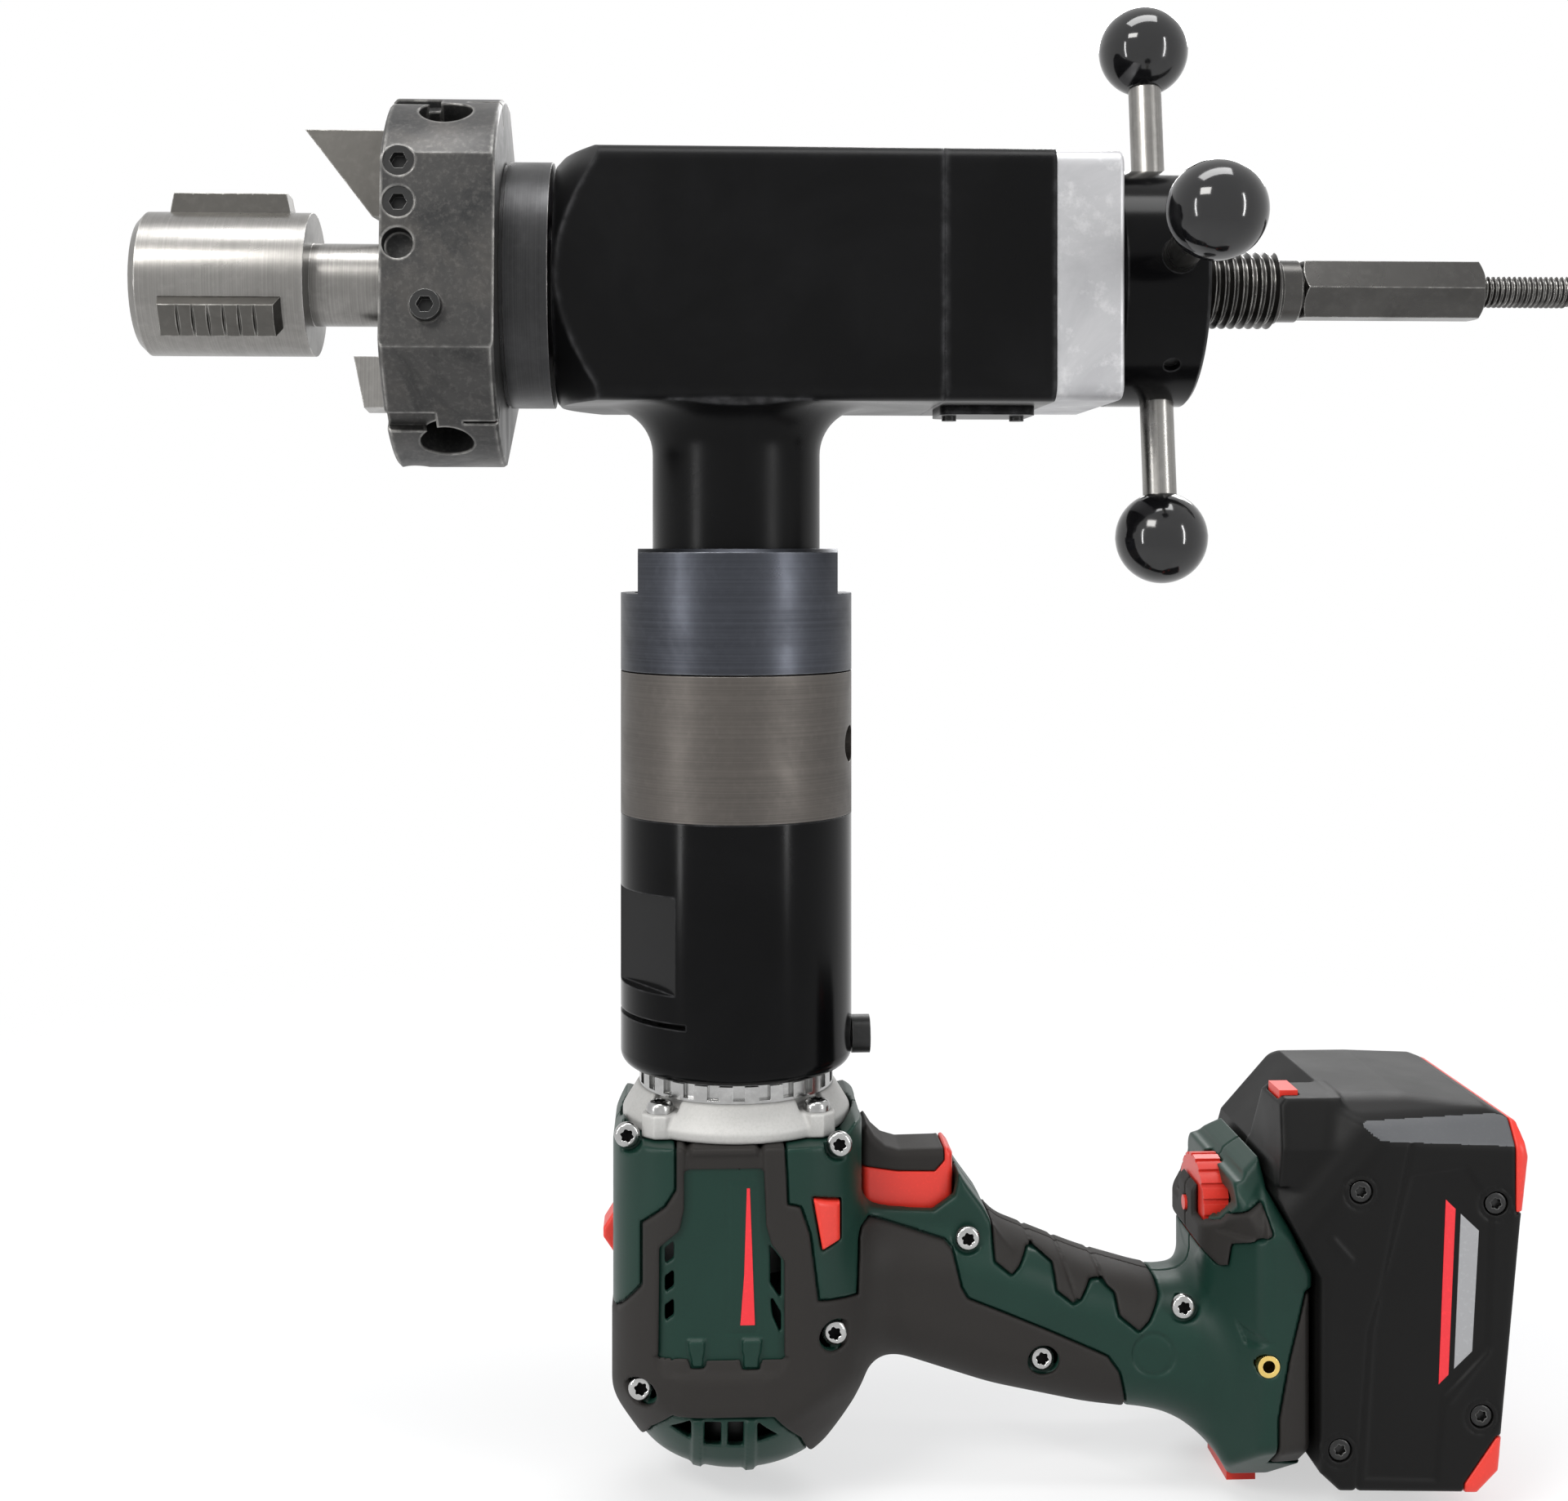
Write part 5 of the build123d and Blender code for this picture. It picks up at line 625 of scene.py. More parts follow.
WHEEL_WINDOW = [(224, -250), (226, -233), (234.8, -234), (235.4, -247), (232.6, -252), (224, -258)]
REAR_WEDGE = [(262, -264), (251.6, -267.6), (247.3, -285.2), (244.5, -300.7), (244.5, -315.4), (262, -317)]
EMBLEM = (215.0, -289.1, 5.4)
FOOT_FACETS = [([(231.5, -254.6), (240.8, -254.2), (242.8, -240)], (241, -252), (236, -246), 1.4),
               ([(235.5, -277.6), (243.6, -280.6), (237.3, -282.4)], (237, -282), (241, -277), 1.0),
               ([(247, -268), (251.6, -267), (247.3, -285.2), (244.5, -300.7), (244.5, -315.4), (262, -317),
                 (262, -264)], (256, -290), (246, -290), 1.2)]
LIP = [(133, -266), (134.6, -248), (138, -250.8), (156, -251.5), (161.8, -247.4), (163.2, -241.4),
       (165.6, -245), (170, -251), (176, -262), (170, -268)]
REVERSER = [(122.2, -241.2), (129.4, -243), (129.4, -252.8), (124.6, -254.7)]


def grown(points, amount):
    """Outline moved outwards, roughly, from its middle."""
    middle = np.mean(points, 0)
    out = []
    for point in points:
        away = np.array(point) - middle
        out.append(tuple(np.array(point) + away / np.linalg.norm(away) * amount * 1.3))
    return out


def grip_sizes(x):
    """Top, bottom and half width of the handle at x, drawn as smooth curves."""
    at = np.arange(100, 270, 1.0)
    table = np.array(GRIP, float)
    window = np.hanning(17)
    window /= window.sum()
    out = []
    for column in (1, 2, 3):
        value = np.interp(at, table[:, 0], table[:, column])
        value = np.convolve(np.pad(value, 8, mode="edge"), window, "valid")
        out.append(np.interp(x, at, value).astype(np.float32))
    return out


def barrel_field(x, y, z):
    dx = x - AXIS_X
    r = np.sqrt(dx * dx + y * y)
    field = box_distance(dx, y, HALF, HALF, CORNER)
    for (r0, up0), (r1, up1) in zip(END_PROFILE, END_PROFILE[1:]):
        rise, run = (up0 - up1), (r1 - r0)
        size = math.hypot(rise, run)
        plane = (r - r0 * HALF) * (rise / size) + (z - END_Z - up0 * HALF) * (run / size)
        field = smax(field, plane, 2.0)
    field = smax(field, END_Z - z, 2.0)
    top = SHOULDER_Z + EAR_HEIGHT * np.clip((np.abs(dx) - 26) / 5, 0, 1) - 1.5 * np.maximum(-dx - 30.4, 0)
    field = smax(field, z - top, 1.0)
    field = np.maximum(field, np.minimum(31.8 - r, z - SHOULDER_Z))
    for a in LUG_ANGLES:
        px, py = LUG_RADIUS * math.cos(a), LUG_RADIUS * math.sin(a)
        away = np.sqrt((dx - px) ** 2 + (y - py) ** 2)
        field = np.maximum(field, np.minimum(5.3 - away, z - SHOULDER_Z))
    return field


def grip_field(x, y, z):
    top, bottom, half = grip_sizes(x)
    deep = (top - bottom) / 2
    corner = np.minimum(half, deep) * 0.86
    field = box_distance(y, z - (top + bottom) / 2, half, deep, corner)
    return np.maximum(field, np.maximum(128 - x, x - 238))


def foot_field(x, y, z):
    side = outline_distance(FOOT, x, z)
    plan = (np.abs(y) - 17 - (x - 229) * (22 / 15)) / math.hypot(1, 22 / 15)
    field = smax(side, plan, 2.5)
    field = smax(field, np.abs(y) - 34, 2.5)
    field = smax(field, (np.abs(y) - 24) * 0.75 + (z + 241) * 0.66, 1.5)
    return smax(field, (np.abs(y) - 34) * 0.6 + (-309 - z) * 0.8, 2.0)


def drill_base(x, y, z):
    """Plain outer form of the drill, before the pads, panels and openings."""
    lip = smax(outline_distance(LIP, x, z), np.abs(y) - 12.5, 2.0)
    field = smin(barrel_field(x, y, z), grip_field(x, y, z), 7.0)
    field = smin(field, lip, 3.0)
    return smin(field, foot_field(x, y, z), 5.0)


def slanted(points, x, z, deep_at, flat_at, depth):
    """Facet that is flush at one point of an outline and deep at another."""
    (ax, az), (bx, bz) = flat_at, deep_at
    dx, dz = bx - ax, bz - az
    share = np.clip(((x - ax) * dx + (z - az) * dz) / (dx * dx + dz * dz), 0, 1)
    return depth * share * np.clip(0.5 - outline_distance(points, x, z) / 0.8, 0, 1)


def mask(distance, width=0.6):
    """1 inside an outline, 0 outside, with a slope of the given width."""
    return np.clip(0.5 - distance / width, 0, 1)


def drill_parts():
    """Fields of the green half shell and its soft pads on the near side, and both without seats."""
    low, high = (67.5, -36.5, -326.5), (257.5, 0.6, -217.5)
    x, y, z = samples(low, high, GRID)
    base = drill_base(x, y, z)
    panel = outline_distance(PANEL, x, z)
    tabs = np.minimum(outline_distance(TABS[0], x, z), outline_distance(TABS[1], x, z))
    cap = outline_distance(CAP, x, z)
    soft = np.maximum(np.maximum(outline_distance(SOFT, x, z), -panel), np.maximum(-cap, -tabs))
    soft = np.minimum(soft, outline_distance(FINGERS, x - 1.2, z + 3.0))
    soft = np.minimum(soft, outline_distance(REAR_WEDGE, x, z))
    bracket = outline_distance(BRACKET, x, z)
    soft = np.minimum(soft, bracket)

    sink = 1.5 * mask(panel, 0.9)
    ledge = np.clip((z - LEDGE_LOW) / (LEDGE_TOP - LEDGE_LOW), 0, 1) * (z < LEDGE_TOP)
    width = mask(np.abs(x - 98.2) - 15.5 - (z - LEDGE_LOW) * 0.3, 1.5)
    sink = np.maximum(sink, 1.5 * ledge * width)
    sink = sink * (1 - mask(tabs, 0.5)) + 0.3 * mask(tabs, 0.5)
    brow = outline_distance(BROW, x, z)
    hollow = mask(np.maximum(np.abs(x - 98.9) - 10.2, np.abs(z + 229) - 5), 1.0)
    sink = np.maximum(sink, 1.1 * hollow * (1 - mask(brow, 1.4)))
    sink = sink - 0.5 * mask(outline_distance(LOWER_FACE, x, z), 3.0)
    stripe = np.abs(np.maximum(np.abs(x - 103.6) - 3.7, np.abs(z + 256.2) - 19.8))
    sink = sink + 0.35 * mask(stripe - 0.25, 0.5)
    disc = round_distance(x, z, *EMBLEM[:2]) - EMBLEM[2]
    sink = sink + 0.6 * mask(np.abs(disc) - 0.45, 0.6) + 0.25 * mask(disc + 0.4, 0.6)
    sink = sink + 0.8 * mask(cap, 1.2)
    for start, end in CAP_RIBS:
        rib = np.maximum(np.abs(x - (start + end) / 2) - (end - start) / 2, np.maximum(z + 298.5, -324 - z))
        sink = sink - 0.8 * mask(rib, 0.7)
    for facet, deep_at, flat_at, depth in FOOT_FACETS:
        sink = sink + slanted(facet, x, z, deep_at, flat_at, depth)

    pads = smax(soft + 0.28, base - 0.3 + sink, 0.9)
    pads = pads - 0.7 * mask(bracket, 1.2)
    finger_top = -248.5 - (x - 171) * 0.52
    for place, lean in FINGER_LINES:
        line = np.abs(x - place - (z - finger_top) * -lean) - 0.35
        pads = pads + 0.75 * mask(line, 1.1) * (np.abs(x - 194) < 26) * (z > finger_top - 16)
    pads = np.maximum(pads, -(base + SKIN - 0.1))
    shell = smax(base + sink, np.minimum(0.22 - soft, base + SKIN), 0.5)
    shell = np.maximum(shell, -(base + WALL))

    def cut(region):
        nonlocal pads, shell
        shell = smax(shell, -region, CUT_BLEND)
        pads = smax(pads, -region, CUT_BLEND)

    cut(even_block(x, y, z, *TRIGGER_ROOM))
    cut(outline_distance(grown(REVERSER, 0.5), x, z))
    cut(even_block(x, y, z, *SELECTOR_ROOM))
    wheel = np.sqrt(y * y + (z - WHEEL_Z) ** 2)
    cut(np.maximum(wheel - 14.0, np.abs(x - WHEEL_X) - 3.9))
    cut(np.maximum(wheel - 2.2, np.abs(x - WHEEL_X) - 6.5))
    cut(np.maximum(outline_distance(WHEEL_WINDOW, x, z), 7.5 - np.abs(y)))
    for room in (WHEEL_ROOM, RELEASE_ROOM, RAIL_ROOM, RAIL_SLOT):
        cut(even_block(x, y, z, *room))
    for vent in LEFT_VENTS + RIGHT_VENTS + CAP_SLOTS:
        cut(np.maximum(outline_distance(vent, x, z), 22 - np.abs(y)))
    boss = round_distance(x, z, INSERT_X, INSERT_Z)
    shell = np.minimum(shell, np.maximum(np.maximum(boss - 5, base + 0.4), (x - 247.4)))
    cut(np.maximum(boss - 3.0, 25.8 - np.abs(y)))
    plain = pads.copy(), shell.copy()
    for low_c, high_c in islands("shell_screws"):
        away = round_distance(x, z, (low_c[0] + high_c[0]) / 2, (low_c[2] + high_c[2]) / 2)
        shell = np.minimum(shell, np.maximum(np.maximum(away - TORX_BOSS, base + 0.2), y - high_c[1] + 6))
        cut(np.maximum(away - TORX_SEAT, y - high_c[1]))
        cut(np.maximum(away - TORX_HOLE, y - high_c[1] - 9))
    return low, [smax(part, y + SEAM, 0.5) for part in (pads, shell, *plain)]


low_corner, (near_pads, near_shell, far_pads, far_shell) = drill_parts()
for name, field, slot_name, side, node in (("shell_near_half", near_shell, "green_shell", 1, "shell_near"),
                                           ("soft_pads_near", near_pads, "soft_grip", 1, "grip_overmould"),
                                           ("shell_far_half", far_shell, "green_shell", -1, "shell_far"),
                                           ("soft_pads_far", far_pads, "soft_grip", -1, "grip_overmould")):
    verts, quads = net(field, low_corner, GRID)
    if side < 0:
        verts[:, 1] *= -1
        quads = quads[:, ::-1]
    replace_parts(piece(name, verts, quads, "carriage", slot_name), node)
del near_pads, near_shell, far_pads, far_shell, field


# ---- Trigger, direction button and gear selector ----

def netted(name, field, low, step, body, slot_name, node):
    """Piece from a sampled field that stands for a CAD node."""
    verts, quads = net(field, low, step)
    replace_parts(piece(name, verts, quads, body, slot_name), node)


TRIGGER = [(137, -257.2), (137, -230.4), (138.6, -229.2), (140.6, -232.4), (143.4, -234.9), (147.4, -236.1),
           (158.5, -235.9), (160.6, -235.5), (162.0, -237.2), (162.0, -257.2)]
PAD = [(130, -239.2), (146.7, -241.7), (157, -241.9), (159.6, -239), (159.6, -215), (130, -215)]
fine = 0.3

low_t = (135.5, -10, -259)
x, y, z = samples(low_t, (163.5, 10, -222), fine)
whole = smax(outline_distance(TRIGGER, x, z), np.abs(y) - 8.4, 2.4)
pad = outline_distance(PAD, x, z)
netted("trigger_body", smax(whole, 0.12 - pad, 0.5), low_t, fine, "trigger", "red_plastic", "trigger")
saddle = smax(whole - 0.05, pad + 0.12, 0.5)
netted("trigger_soft_pad", saddle, low_t, fine, "trigger", "soft_grip", "trigger_pad")

low_t = (119.5, -36, -257.5)
x, y, z = samples(low_t, (132, 36, -238.5), fine)
barrel = box_distance(x - AXIS_X, y, HALF + 1.0, HALF + 1.0, CORNER)
field = smax(outline_distance(REVERSER, x, z), barrel, 1.2)
netted("direction_push_button", field, low_t, fine, "direction_button", "red_plastic", "direction_button")

RIDGE = [(74.2, -251), (70.0, -251.6), (66.6, -257), (66.6, -259.4), (70.0, -264.4), (74.2, -265)]
low_t = (65, -7.5, -274)
x, y, z = samples(low_t, (77, 7.5, -242), fine)
field = smax(outline_distance(RIDGE, x, z), np.abs(y) - 5.9, 1.2)
field = np.minimum(field, even_block(x, y, z, 74.1, 75.5, 5.9, -272.4, -243.6, 0.3))
netted("gear_selector_knob", field, low_t, fine, "gear_selector", "red_plastic", "gear_selector")


# ---- Battery ----

CASE = [(245.4, -235.5), (261.5, -217.8), (281, -217.8), (301, -219.6), (308, -223.2), (309.8, -231.4),
        (307.8, -249.5), (301.8, -313.5), (296, -319.3), (259.6, -318.2), (254.5, -313.5), (254.5, -262.6),
        (244.5, -243.2)]
CASE_HALF = 37.8
RIM_LINE = ((249.2, -248.3), (266.3, -228.2))
SEAM_LINE = [(278.4, -228), (270.2, -265.6), (267.1, -276.3), (264, -318)]
LABEL_BED = [(278.6, -236), (270.6, -265.6), (268.6, -276.3), (266.4, -314.6), (285.1, -315.5), (287, -293.5),
             (298.6, -282), (300, -244), (293, -234)]
GAUGE_POD = [(244.6, -240), (246.4, -219.4), (248, -217.8), (263, -217.8), (266, -240)]
BUMPER_LOW = [(292.5, -325), (292.5, -316.6), (301, -304.5), (316, -304.5), (316, -325)]
BUMPER_TOP = [(306.2, -215), (306.2, -246), (316, -246), (316, -215)]


def along(points, x, z):
    """Distance to an open line of points."""
    best = None
    for (x0, z0), (x1, z1) in zip(points, points[1:]):
        ex, ez = x1 - x0, z1 - z0
        t = np.clip(((x - x0) * ex + (z - z0) * ez) / (ex * ex + ez * ez), 0, 1)
        d = (x - x0 - ex * t) ** 2 + (z - z0 - ez * t) ** 2
        best = d if best is None else np.minimum(best, d)
    return np.sqrt(best)


low_b = (240, -39, -321)
x, y, z = samples(low_b, (311.5, 39, -216.5), GRID)
ay = np.abs(y)
rim_dx, rim_dz = np.subtract(RIM_LINE[1], RIM_LINE[0])
rim_size = math.hypot(rim_dx, rim_dz)


def rim_beyond(x, z):
    """Distance past the slanted line at the front of the battery's sides."""
    return (-rim_dz * (x - RIM_LINE[0][0]) + rim_dx * (z - RIM_LINE[0][1])) / rim_size


def top_beyond(x, z):
    """Height above the line at the top of the battery's sides."""
    return z + 227.5 + (x - 280) * 0.05


beyond = rim_beyond(x, z)
case = smax(outline_distance(CASE, x, z), ay - CASE_HALF, 2.2)
case = smax(case, (ay - CASE_HALF + 0.9 * beyond) / math.hypot(1, 0.9), 0.8)
case = smax(case, (ay - CASE_HALF + 1.6 + 0.45 * beyond) / math.hypot(1, 0.45), 0.8)
case = smax(case, (ay - CASE_HALF + 0.8 * top_beyond(x, z)) / math.hypot(1, 0.8), 0.8)
case = smax(case, (ay - 34.5 + 2.2 * (z + 222.3)) / math.hypot(1, 2.2), 1.5)
sink = 0.55 * mask(along(SEAM_LINE, x, z) - 0.35, 0.6)
bed = outline_distance(LABEL_BED, x, z)
sink = sink + 0.5 * mask(bed, 0.7)
for start, end in (((298.4, -282.2), (288.6, -294.6)), ((257.6, -252.4), (262.2, -257.6))):
    sink = sink - 0.45 * mask(along([start, end], x, z) - 0.8, 1.4)
case = case + sink
bumper = np.minimum(outline_distance(BUMPER_LOW, x, z), outline_distance(BUMPER_TOP, x, z))
body = smax(case, np.minimum(0.12 - bumper, case + 1.7), 0.4)
tongue = np.minimum(even_block(x, y, z, 248.2, 256, 19.9, -311.8, -262.6, 0.4),
                    even_block(x, y, z, 248.2, 250.9, 23.8, -311.8, -262.6, 0.4))
pod = smax(outline_distance(GAUGE_POD, x, z), (np.abs(y + 20) - 9) * 0.9 + (z + 217.8) * 0.44, 1.5)
pod = smax(pod, ay - 33.5 + 0.4 * np.maximum(z + 230, 0), 1.5)
body = smin(np.minimum(body, tongue), pod, 1.5)
for low_c, high_c in islands("battery_screws"):
    away = round_distance(x, z, (low_c[0] + high_c[0]) / 2, (low_c[2] + high_c[2]) / 2)
    body = smax(body, -np.maximum(away - 3.1, y + 34.6), 0.5)
    body = body + 0.5 * mask(np.abs(away - 4.4) - 0.2, 0.8) * (y < -30)
gauge_low, gauge_high = (np.array(c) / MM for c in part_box("gauge_button"))
body = smax(body, -block_distance(x, y, z, (gauge_low[0] - 0.4, gauge_low[1] - 0.4, gauge_low[2] - 1.6),
                                  (gauge_high[0] + 0.4, gauge_high[1] + 0.4, -210), 0.4), 0.4)
verts, quads = net(body, low_b, GRID)
# Faces on the slanted bevels along the battery's front and top rims take a lighter grey: a painted highlight
# where these bevels face the light.
place = np.array(verts)[np.array(quads)].mean(1)
px, py, pz = place[:, 0], np.abs(place[:, 1]), place[:, 2]
past, over = rim_beyond(px, pz), top_beyond(px, pz)
front = (past > 0.25) & (np.abs(py - CASE_HALF + 0.9 * past) < 0.45)
lit_bevel_faces = front | ((over > 0.25) & (np.abs(py - CASE_HALF + 0.8 * over) < 0.45))
lit_bevel_faces &= (py > 29) & (px < 308) & ((place[:, 1] > 0) | (px > 266.5))
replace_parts(piece("battery_body", verts, quads, "battery", "battery_plastic",
                  materials=[MAT["battery_plastic"], BEVEL_HIGHLIGHT_GREY], index=lit_bevel_faces), "battery_case")
guards = smax(smax(case - 0.1, bumper + 0.12, 0.5), -(case + 1.5), 0.3)
netted("battery_corner_guards", guards, low_b, GRID, "battery", "red_plastic", "battery_bumpers")
del case, body, tongue, sink


def plate(name, points, top_y, body_name, material, slot_name, thick=0.25):
    """Thin plate with bevelled edges that faces -Y, from an outline in X and Z."""
    inner = [tuple(np.array(p) + (np.mean(points, 0) - np.array(p)) * 0.03) for p in points]
    count = len(points)
    verts = [(px, top_y + thick, pz) for px, pz in points] + [(px, top_y + 0.06, pz) for px, pz in points]
    verts += [(px, top_y, pz) for px, pz in inner]
    faces = [tuple(range(count)), tuple(reversed(range(2 * count, 3 * count)))]
    for k in range(count):
        n = (k + 1) % count
        faces += [(k, k + count, n + count, n), (k + count, k + 2 * count, n + 2 * count, n + count)]
    made = piece(name, verts, faces, body_name, slot_name, materials=[material], smooth=False)
    work = bmesh.new()
    work.from_mesh(made.data)
    bmesh.ops.recalc_face_normals(work, faces=work.faces)
    work.to_mesh(made.data)
    work.free()
    return made


bed_y = -CASE_HALF + 0.5
plate("battery_stripe_grey", [(291.6, -246), (296.4, -250.5), (294.6, -282), (289.8, -286.5)], bed_y - 0.18,
      "battery", LABEL_GREY, "battery_plastic")
plate("battery_stripe_red", [(287.6, -242.2), (290.2, -244.7), (288.3, -288), (285.7, -290.5)], bed_y - 0.18,
      "battery", LABEL_RED, "battery_plastic")
plate("barrel_stripe_red", [(104.9, -238.4), (105.7, -238.4), (107.0, -274), (103.2, -274), (104.2, -261)],
      -HALF + 1.35, "carriage", LABEL_RED, "green_shell")


# ---- Screws, knobs, threads and nose ----

def turned_screw(node, name, body, slot_name, axis, recess, dome=True):
    """Pan heads with a six-lobe recess in place of a node's plain discs."""
    parts = []
    k = [abs(c) for c in axis].index(1)
    for low_c, high_c in islands(node):
        middle = (low_c + high_c) / 2
        radius = (high_c - low_c)[(k + 1) % 3] / 2
        height = (high_c - low_c)[k]
        foot = middle.copy()
        foot[k] = high_c[k] if axis[k] < 0 else low_c[k]
        top = height * (1.0 if dome else 0.86)
        fall = (0.9, 0.74, 0.5) if dome else (0.98, 0.95, 0.85)
        profile = [(0.0, top - 1.5), (recess * 0.55, top - 1.5), (recess, top - 1.35), (recess, top - 0.12),
                   (recess * 1.1, top), (radius * 0.62, top * 0.985), (radius * 0.8, top * fall[0]),
                   (radius * 0.92, top * fall[1]), (radius * 0.985, top * fall[2]),
                   (radius, top * 0.3), (radius, 0.0), (0.0, 0.0)]

        def lobes(r, h, a, j):
            return r * (1 + 0.13 * math.cos(6 * a)) if 0 < j < 5 else r
        parts.append(lathe(profile, 48, foot, axis, wobble=lobes))
    verts, faces = join(parts)
    # The recess floor and wall take the near-black material, as painted shade.
    index = [1 if face[0] % len(profile) < 3 else 0 for face in faces]
    made = piece(name, verts, faces, body, slot_name, materials=[MAT[slot_name], RECESS_SHADE], index=index, sharp=38)
    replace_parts(made, node)
    return made


turned_screw("shell_screws", "shell_torx_screws", "carriage", "screw_steel", (0, -1, 0), 1.55)
turned_screw("flange_screws", "flange_torx_screws", "carriage", "screw_steel", (0, 0, 1), 1.7)
turned_screw("battery_screws", "battery_torx_screws", "battery", "black_screw", (0, -1, 0), 1.3, dome=False)

parts = []
for low_c, high_c in islands("ball_knobs"):
    middle = (low_c + high_c) / 2
    arm = middle - np.array([middle[0], 0, 0])
    arm /= np.linalg.norm(arm)
    radius = (high_c[0] - low_c[0]) / 2 * 0.985
    profile = []
    for k in range(49):
        angle = math.pi * k / 48
        bead = 1 + 0.0035 * math.exp(-((angle - math.pi / 2) / 0.028) ** 2)
        profile.append((radius * bead * math.sin(angle), radius * bead * math.cos(angle)))
    profile = [p for p in profile if p[1] > -radius * 0.945]
    neck = profile[-1][1]
    profile += [(4.3, neck), (4.3, neck + 0.5), (0.0, neck + 0.5)]
    parts.append(lathe(profile, 72, middle, tuple(arm)))
verts, faces = join(parts)
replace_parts(piece("polished_ball_knobs", verts, faces, "feed_hub", "black_ball", sharp=50), "ball_knobs")


def screw_thread(start, end, crest, depth, pitch, steps=56):
    """V thread round the mandrel axis that fades out at both ends, on its core."""
    across = [(0.0, 0.0), (0.1, 0.0), (0.52, 1.0), (0.6, 1.0), (1.0, 0.0)]
    turns = (end - start) / pitch - 1
    rows = int(turns * steps)
    verts, faces = [], []
    for k in range(rows + 1):
        a = 2 * math.pi * k / steps
        fade = min(1.0, k / steps, (rows - k) / (0.5 * steps))
        for portion, drop in across:
            r = crest - depth + depth * (1 - drop) * fade
            verts.append((start + pitch * (k / steps + portion), r * math.sin(a), r * math.cos(a)))
    n = len(across)
    for k in range(rows):
        for j in range(n - 1):
            faces.append((k * n + j, k * n + j + 1, (k + 1) * n + j + 1, (k + 1) * n + j))
    root = crest - depth
    length = end - start
    core = lathe([(0, 0), (root + 0.02, 0), (root + 0.02, length - 0.6), (root - 0.5, length), (0, length)],
                 steps, (start, 0, 0), (1, 0, 0))
    return join([(verts, faces), core])


def cut_off(node, beyond):
    """Points and faces of a CAD node in millimetres, up to a place along X."""
    work = bmesh.new()
    work.from_mesh(frame["nodes"][node].data)
    bmesh.ops.remove_doubles(work, verts=work.verts, dist=1e-7)
    geometry = work.verts[:] + work.edges[:] + work.faces[:]
    bmesh.ops.bisect_plane(work, geom=geometry, plane_co=(beyond * MM, 0, 0), plane_no=(1, 0, 0),
                           clear_outer=True)
    work.verts.index_update()
    verts = [tuple(c / MM for c in vert.co) for vert in work.verts]
    faces = [tuple(vert.index for vert in face.verts) for face in work.faces]
    work.free()
    return verts, faces


def threaded(node, name, body, start, *thread):
    """Node cut off at a place along X, with a modelled thread from there to its end."""
    plain = cut_off(node, start + 0.1)
    screw = screw_thread(start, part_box(node)[1].x / MM, *thread)
    verts, faces = join([plain, screw])
    index = [0] * len(plain[1]) + [1] * len(screw[1])
    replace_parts(piece(name, verts, faces, body, "bright_steel", materials=[MAT["bright_steel"], DARK_STEEL],
                      index=index, sharp=35), node)


DARK_STEEL = steel("dark_oiled_steel", (0.075, 0.073, 0.07), 0.27, None, 0, 0.000003, edge_wear_and_highlight=(0.5, 0.49, 0.47))
threaded("mandrel_body", "mandrel_with_thread", "mandrel", 224.5, 10.7, 1.45, 2.54)
threaded("draw_rod", "draw_rod_with_thread", "draw_rod", 305.9, 4.48, 0.8, 1.5, 40)
for name in ("draw_nut", "thrust_collar"):
    frame["nodes"][name].data.materials[0] = DARK_STEEL

# Gear case: flange with four boxed lugs, and its spigot in the adapter
low_g = (68.5, -34.5, -228.4)
casting_grid = 0.36
x, y, z = samples(low_g, (137.5, 34.5, -217.4), casting_grid)
dx = x - AXIS_X
r = np.sqrt(dx * dx + y * y)
rim = np.interp(np.clip(z, -225, -218), (-225, -218), (FLANGE_RADIUS, FLANGE_TOP_RADIUS)).astype(np.float32)
case = smax(r - rim, np.abs(z + 222.7) - 4.65, 0.6)
case = smax(case, r - FLANGE_RADIUS, 0.6)
for a in LUG_ANGLES:
    px, py = LUG_RADIUS * math.cos(a), LUG_RADIUS * math.sin(a)
    u = (dx - px) * math.cos(a) + (y - py) * math.sin(a)
    v = -(dx - px) * math.sin(a) + (y - py) * math.cos(a)
    eight = np.maximum(np.maximum(np.abs(u), np.abs(v)) - 4.5, (np.abs(u) + np.abs(v)) * 0.7071 - 4.8)
    well = np.maximum(np.maximum(np.abs(v) - 4.9, -u - 4.9), -221.1 - z)
    case = smax(case, -well, 0.9)
    case = smin(case, smax(eight, np.abs(z + 224.3) - 3.1, 0.5), 0.8)
case = np.maximum(case, 8.6 - r)
verts, quads = net(case, low_g, casting_grid)
SPIGOT = [(8.4, -227), (8.4, -160), (20.9, -160), (21.6, -160.8), (21.6, -219)]
spigot = lathe(SPIGOT, 72, (AXIS_X, 0, 0), (0, 0, 1))
verts, faces = join([(verts, quads), spigot])
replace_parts(piece("gear_case_casting", verts, faces, "carriage", "cast_aluminium"), "gear_case")


# ---- Camera, light and floor ----

camera = bpy.data.objects.new("camera", bpy.data.cameras.new("camera"))
bpy.context.scene.collection.objects.link(camera)
camera.location = (0.0878345, -0.5598884, -0.0718)
camera.rotation_euler = (math.radians(90), 0, math.radians(-2.6))
camera.data.sensor_width = 36
camera.data.lens = 46.617
camera.data.shift_x = 0.00677
camera.data.shift_y = -0.12917
camera.data.clip_start = 0.01
bpy.context.scene.camera = camera
bpy.context.scene.view_settings.view_transform = "Standard"

WHITE = (1, 1, 1, 1)


def wire(tree, kind, inputs=None, **values):
    """New node with values set on it and its inputs linked or set."""
    made = tree.nodes.new(kind)
    for key, value in values.items():
        setattr(made, key, value)
    for key, value in (inputs or {}).items():
        if isinstance(value, bpy.types.NodeSocket):
            tree.links.new(value, made.inputs[key])
        else:
            made.inputs[key].default_value = value
    return made


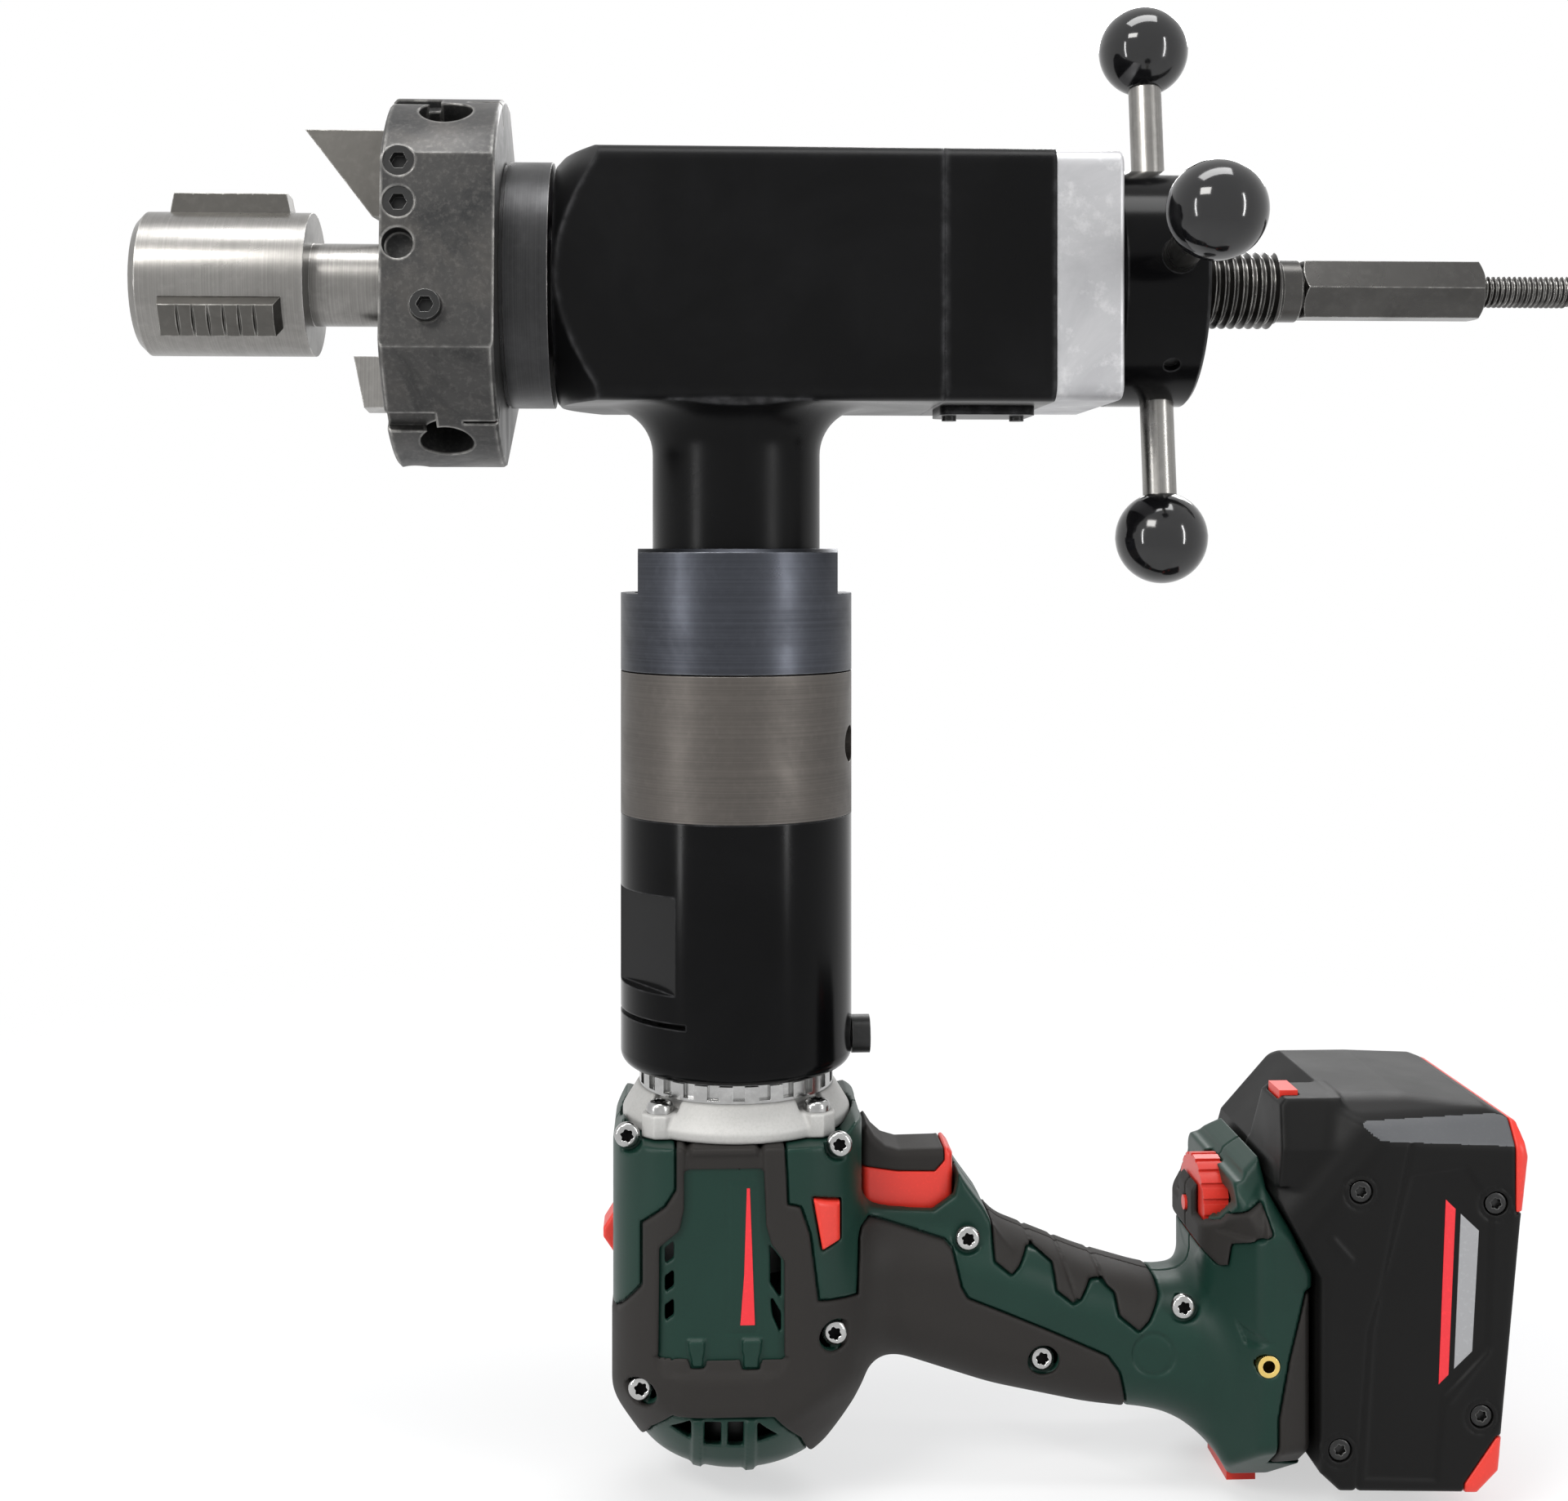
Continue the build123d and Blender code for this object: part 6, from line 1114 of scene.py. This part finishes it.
def larger(tree, first, last):
    return wire(tree, "ShaderNodeMath", {0: first, 1: last}, operation="MAXIMUM").outputs[0]


world = bpy.data.worlds.new("studio")
bpy.context.scene.world = world
world.use_nodes = True
tree = world.node_tree
rays = wire(tree, "ShaderNodeLightPath").outputs
seen = larger(tree, rays["Is Camera Ray"], rays["Is Glossy Ray"])
clear = larger(tree, seen, rays["Is Transmission Ray"])
shade = wire(tree, "ShaderNodeMix", {"Factor": clear, 6: (0.52, 0.53, 0.55, 1), 7: WHITE}, data_type="RGBA")
tree.links.new(shade.outputs[2], tree.nodes["Background"].inputs["Color"])
tree.nodes["Background"].inputs["Strength"].default_value = 1.0


AIM = (0.11, 0, -0.13)


def lamp(name, place, size, power, tone=(1, 1, 1)):
    data = bpy.data.lights.new(name, "AREA")
    data.shape = "RECTANGLE"
    data.size, data.size_y = size
    data.energy = power
    data.color = tone
    made = bpy.data.objects.new(name, data)
    bpy.context.scene.collection.objects.link(made)
    made.location = place
    made.rotation_euler = (Vector(AIM) - Vector(place)).to_track_quat("-Z", "Y").to_euler()


lamp("key", (-0.55, -0.85, 0.75), (0.5, 0.35), 9.0, (1, 0.985, 0.96))
lamp("top", (0.12, -0.15, 0.95), (0.9, 0.35), 9.0)
lamp("strip_left", (-0.75, -0.55, -0.05), (0.035, 0.8), 3.4)
lamp("strip_right", (0.95, -0.75, 0.05), (0.05, 0.8), 4.2)
lamp("rim", (0.5, 0.9, 0.5), (0.6, 0.4), 6.0)

ground = float(cad_box[0].z)
steps_r, steps_a = 26, 96
floor_v = [(AXIS_X, 0.0, ground / MM)]
for j in range(1, steps_r + 1):
    r = 3000.0 * (j / steps_r) ** 2
    for k in range(steps_a):
        a = 2 * math.pi * k / steps_a
        floor_v.append((AXIS_X + r * math.cos(a), r * math.sin(a), ground / MM))
floor_f = [(0, 1 + k, 1 + (k + 1) % steps_a) for k in range(steps_a)]
for j in range(steps_r - 1):
    a, b = 1 + j * steps_a, 1 + (j + 1) * steps_a
    floor_f += [(a + k, b + k, b + (k + 1) % steps_a, a + (k + 1) % steps_a) for k in range(steps_a)]
mesh = bpy.data.meshes.new("floor")
mesh.from_pydata([tuple(c * MM for c in v) for v in floor_v], [], floor_f)
floor = bpy.data.objects.new("floor", mesh)
bpy.context.scene.collection.objects.link(floor)
paper = bpy.data.materials.new("pale_floor")
paper.use_nodes = True
tree = paper.node_tree
bsdf = tree.nodes["Principled BSDF"]
for key, value in (("Base Color", (0.8, 0.8, 0.8, 1)), ("Roughness", 0.9), ("Specular IOR Level", 0.0)):
    bsdf.inputs[key].default_value = value
glow = wire(tree, "ShaderNodeEmission", {"Color": WHITE})
rays = wire(tree, "ShaderNodeLightPath").outputs
seen = larger(tree, rays["Is Camera Ray"], rays["Is Glossy Ray"])
where = wire(tree, "ShaderNodeNewGeometry").outputs["Position"]
span = wire(tree, "ShaderNodeVectorMath", {0: where, 1: (0.12, 0.0, ground)}, operation="DISTANCE")
fade = wire(tree, "ShaderNodeMapRange", {"Value": span.outputs["Value"], "From Min": 0.12, "From Max": 0.75,
                                         "To Min": 0.55, "To Max": 1.0}, interpolation_type="SMOOTHSTEP")
share = wire(tree, "ShaderNodeMath", {0: fade.outputs["Result"], 1: seen}, operation="MULTIPLY")
mixed = wire(tree, "ShaderNodeMixShader", {0: share.outputs[0], 1: bsdf.outputs[0], 2: glow.outputs[0]})
tree.links.new(mixed.outputs[0], tree.nodes["Material Output"].inputs["Surface"])
mesh.materials.append(paper)
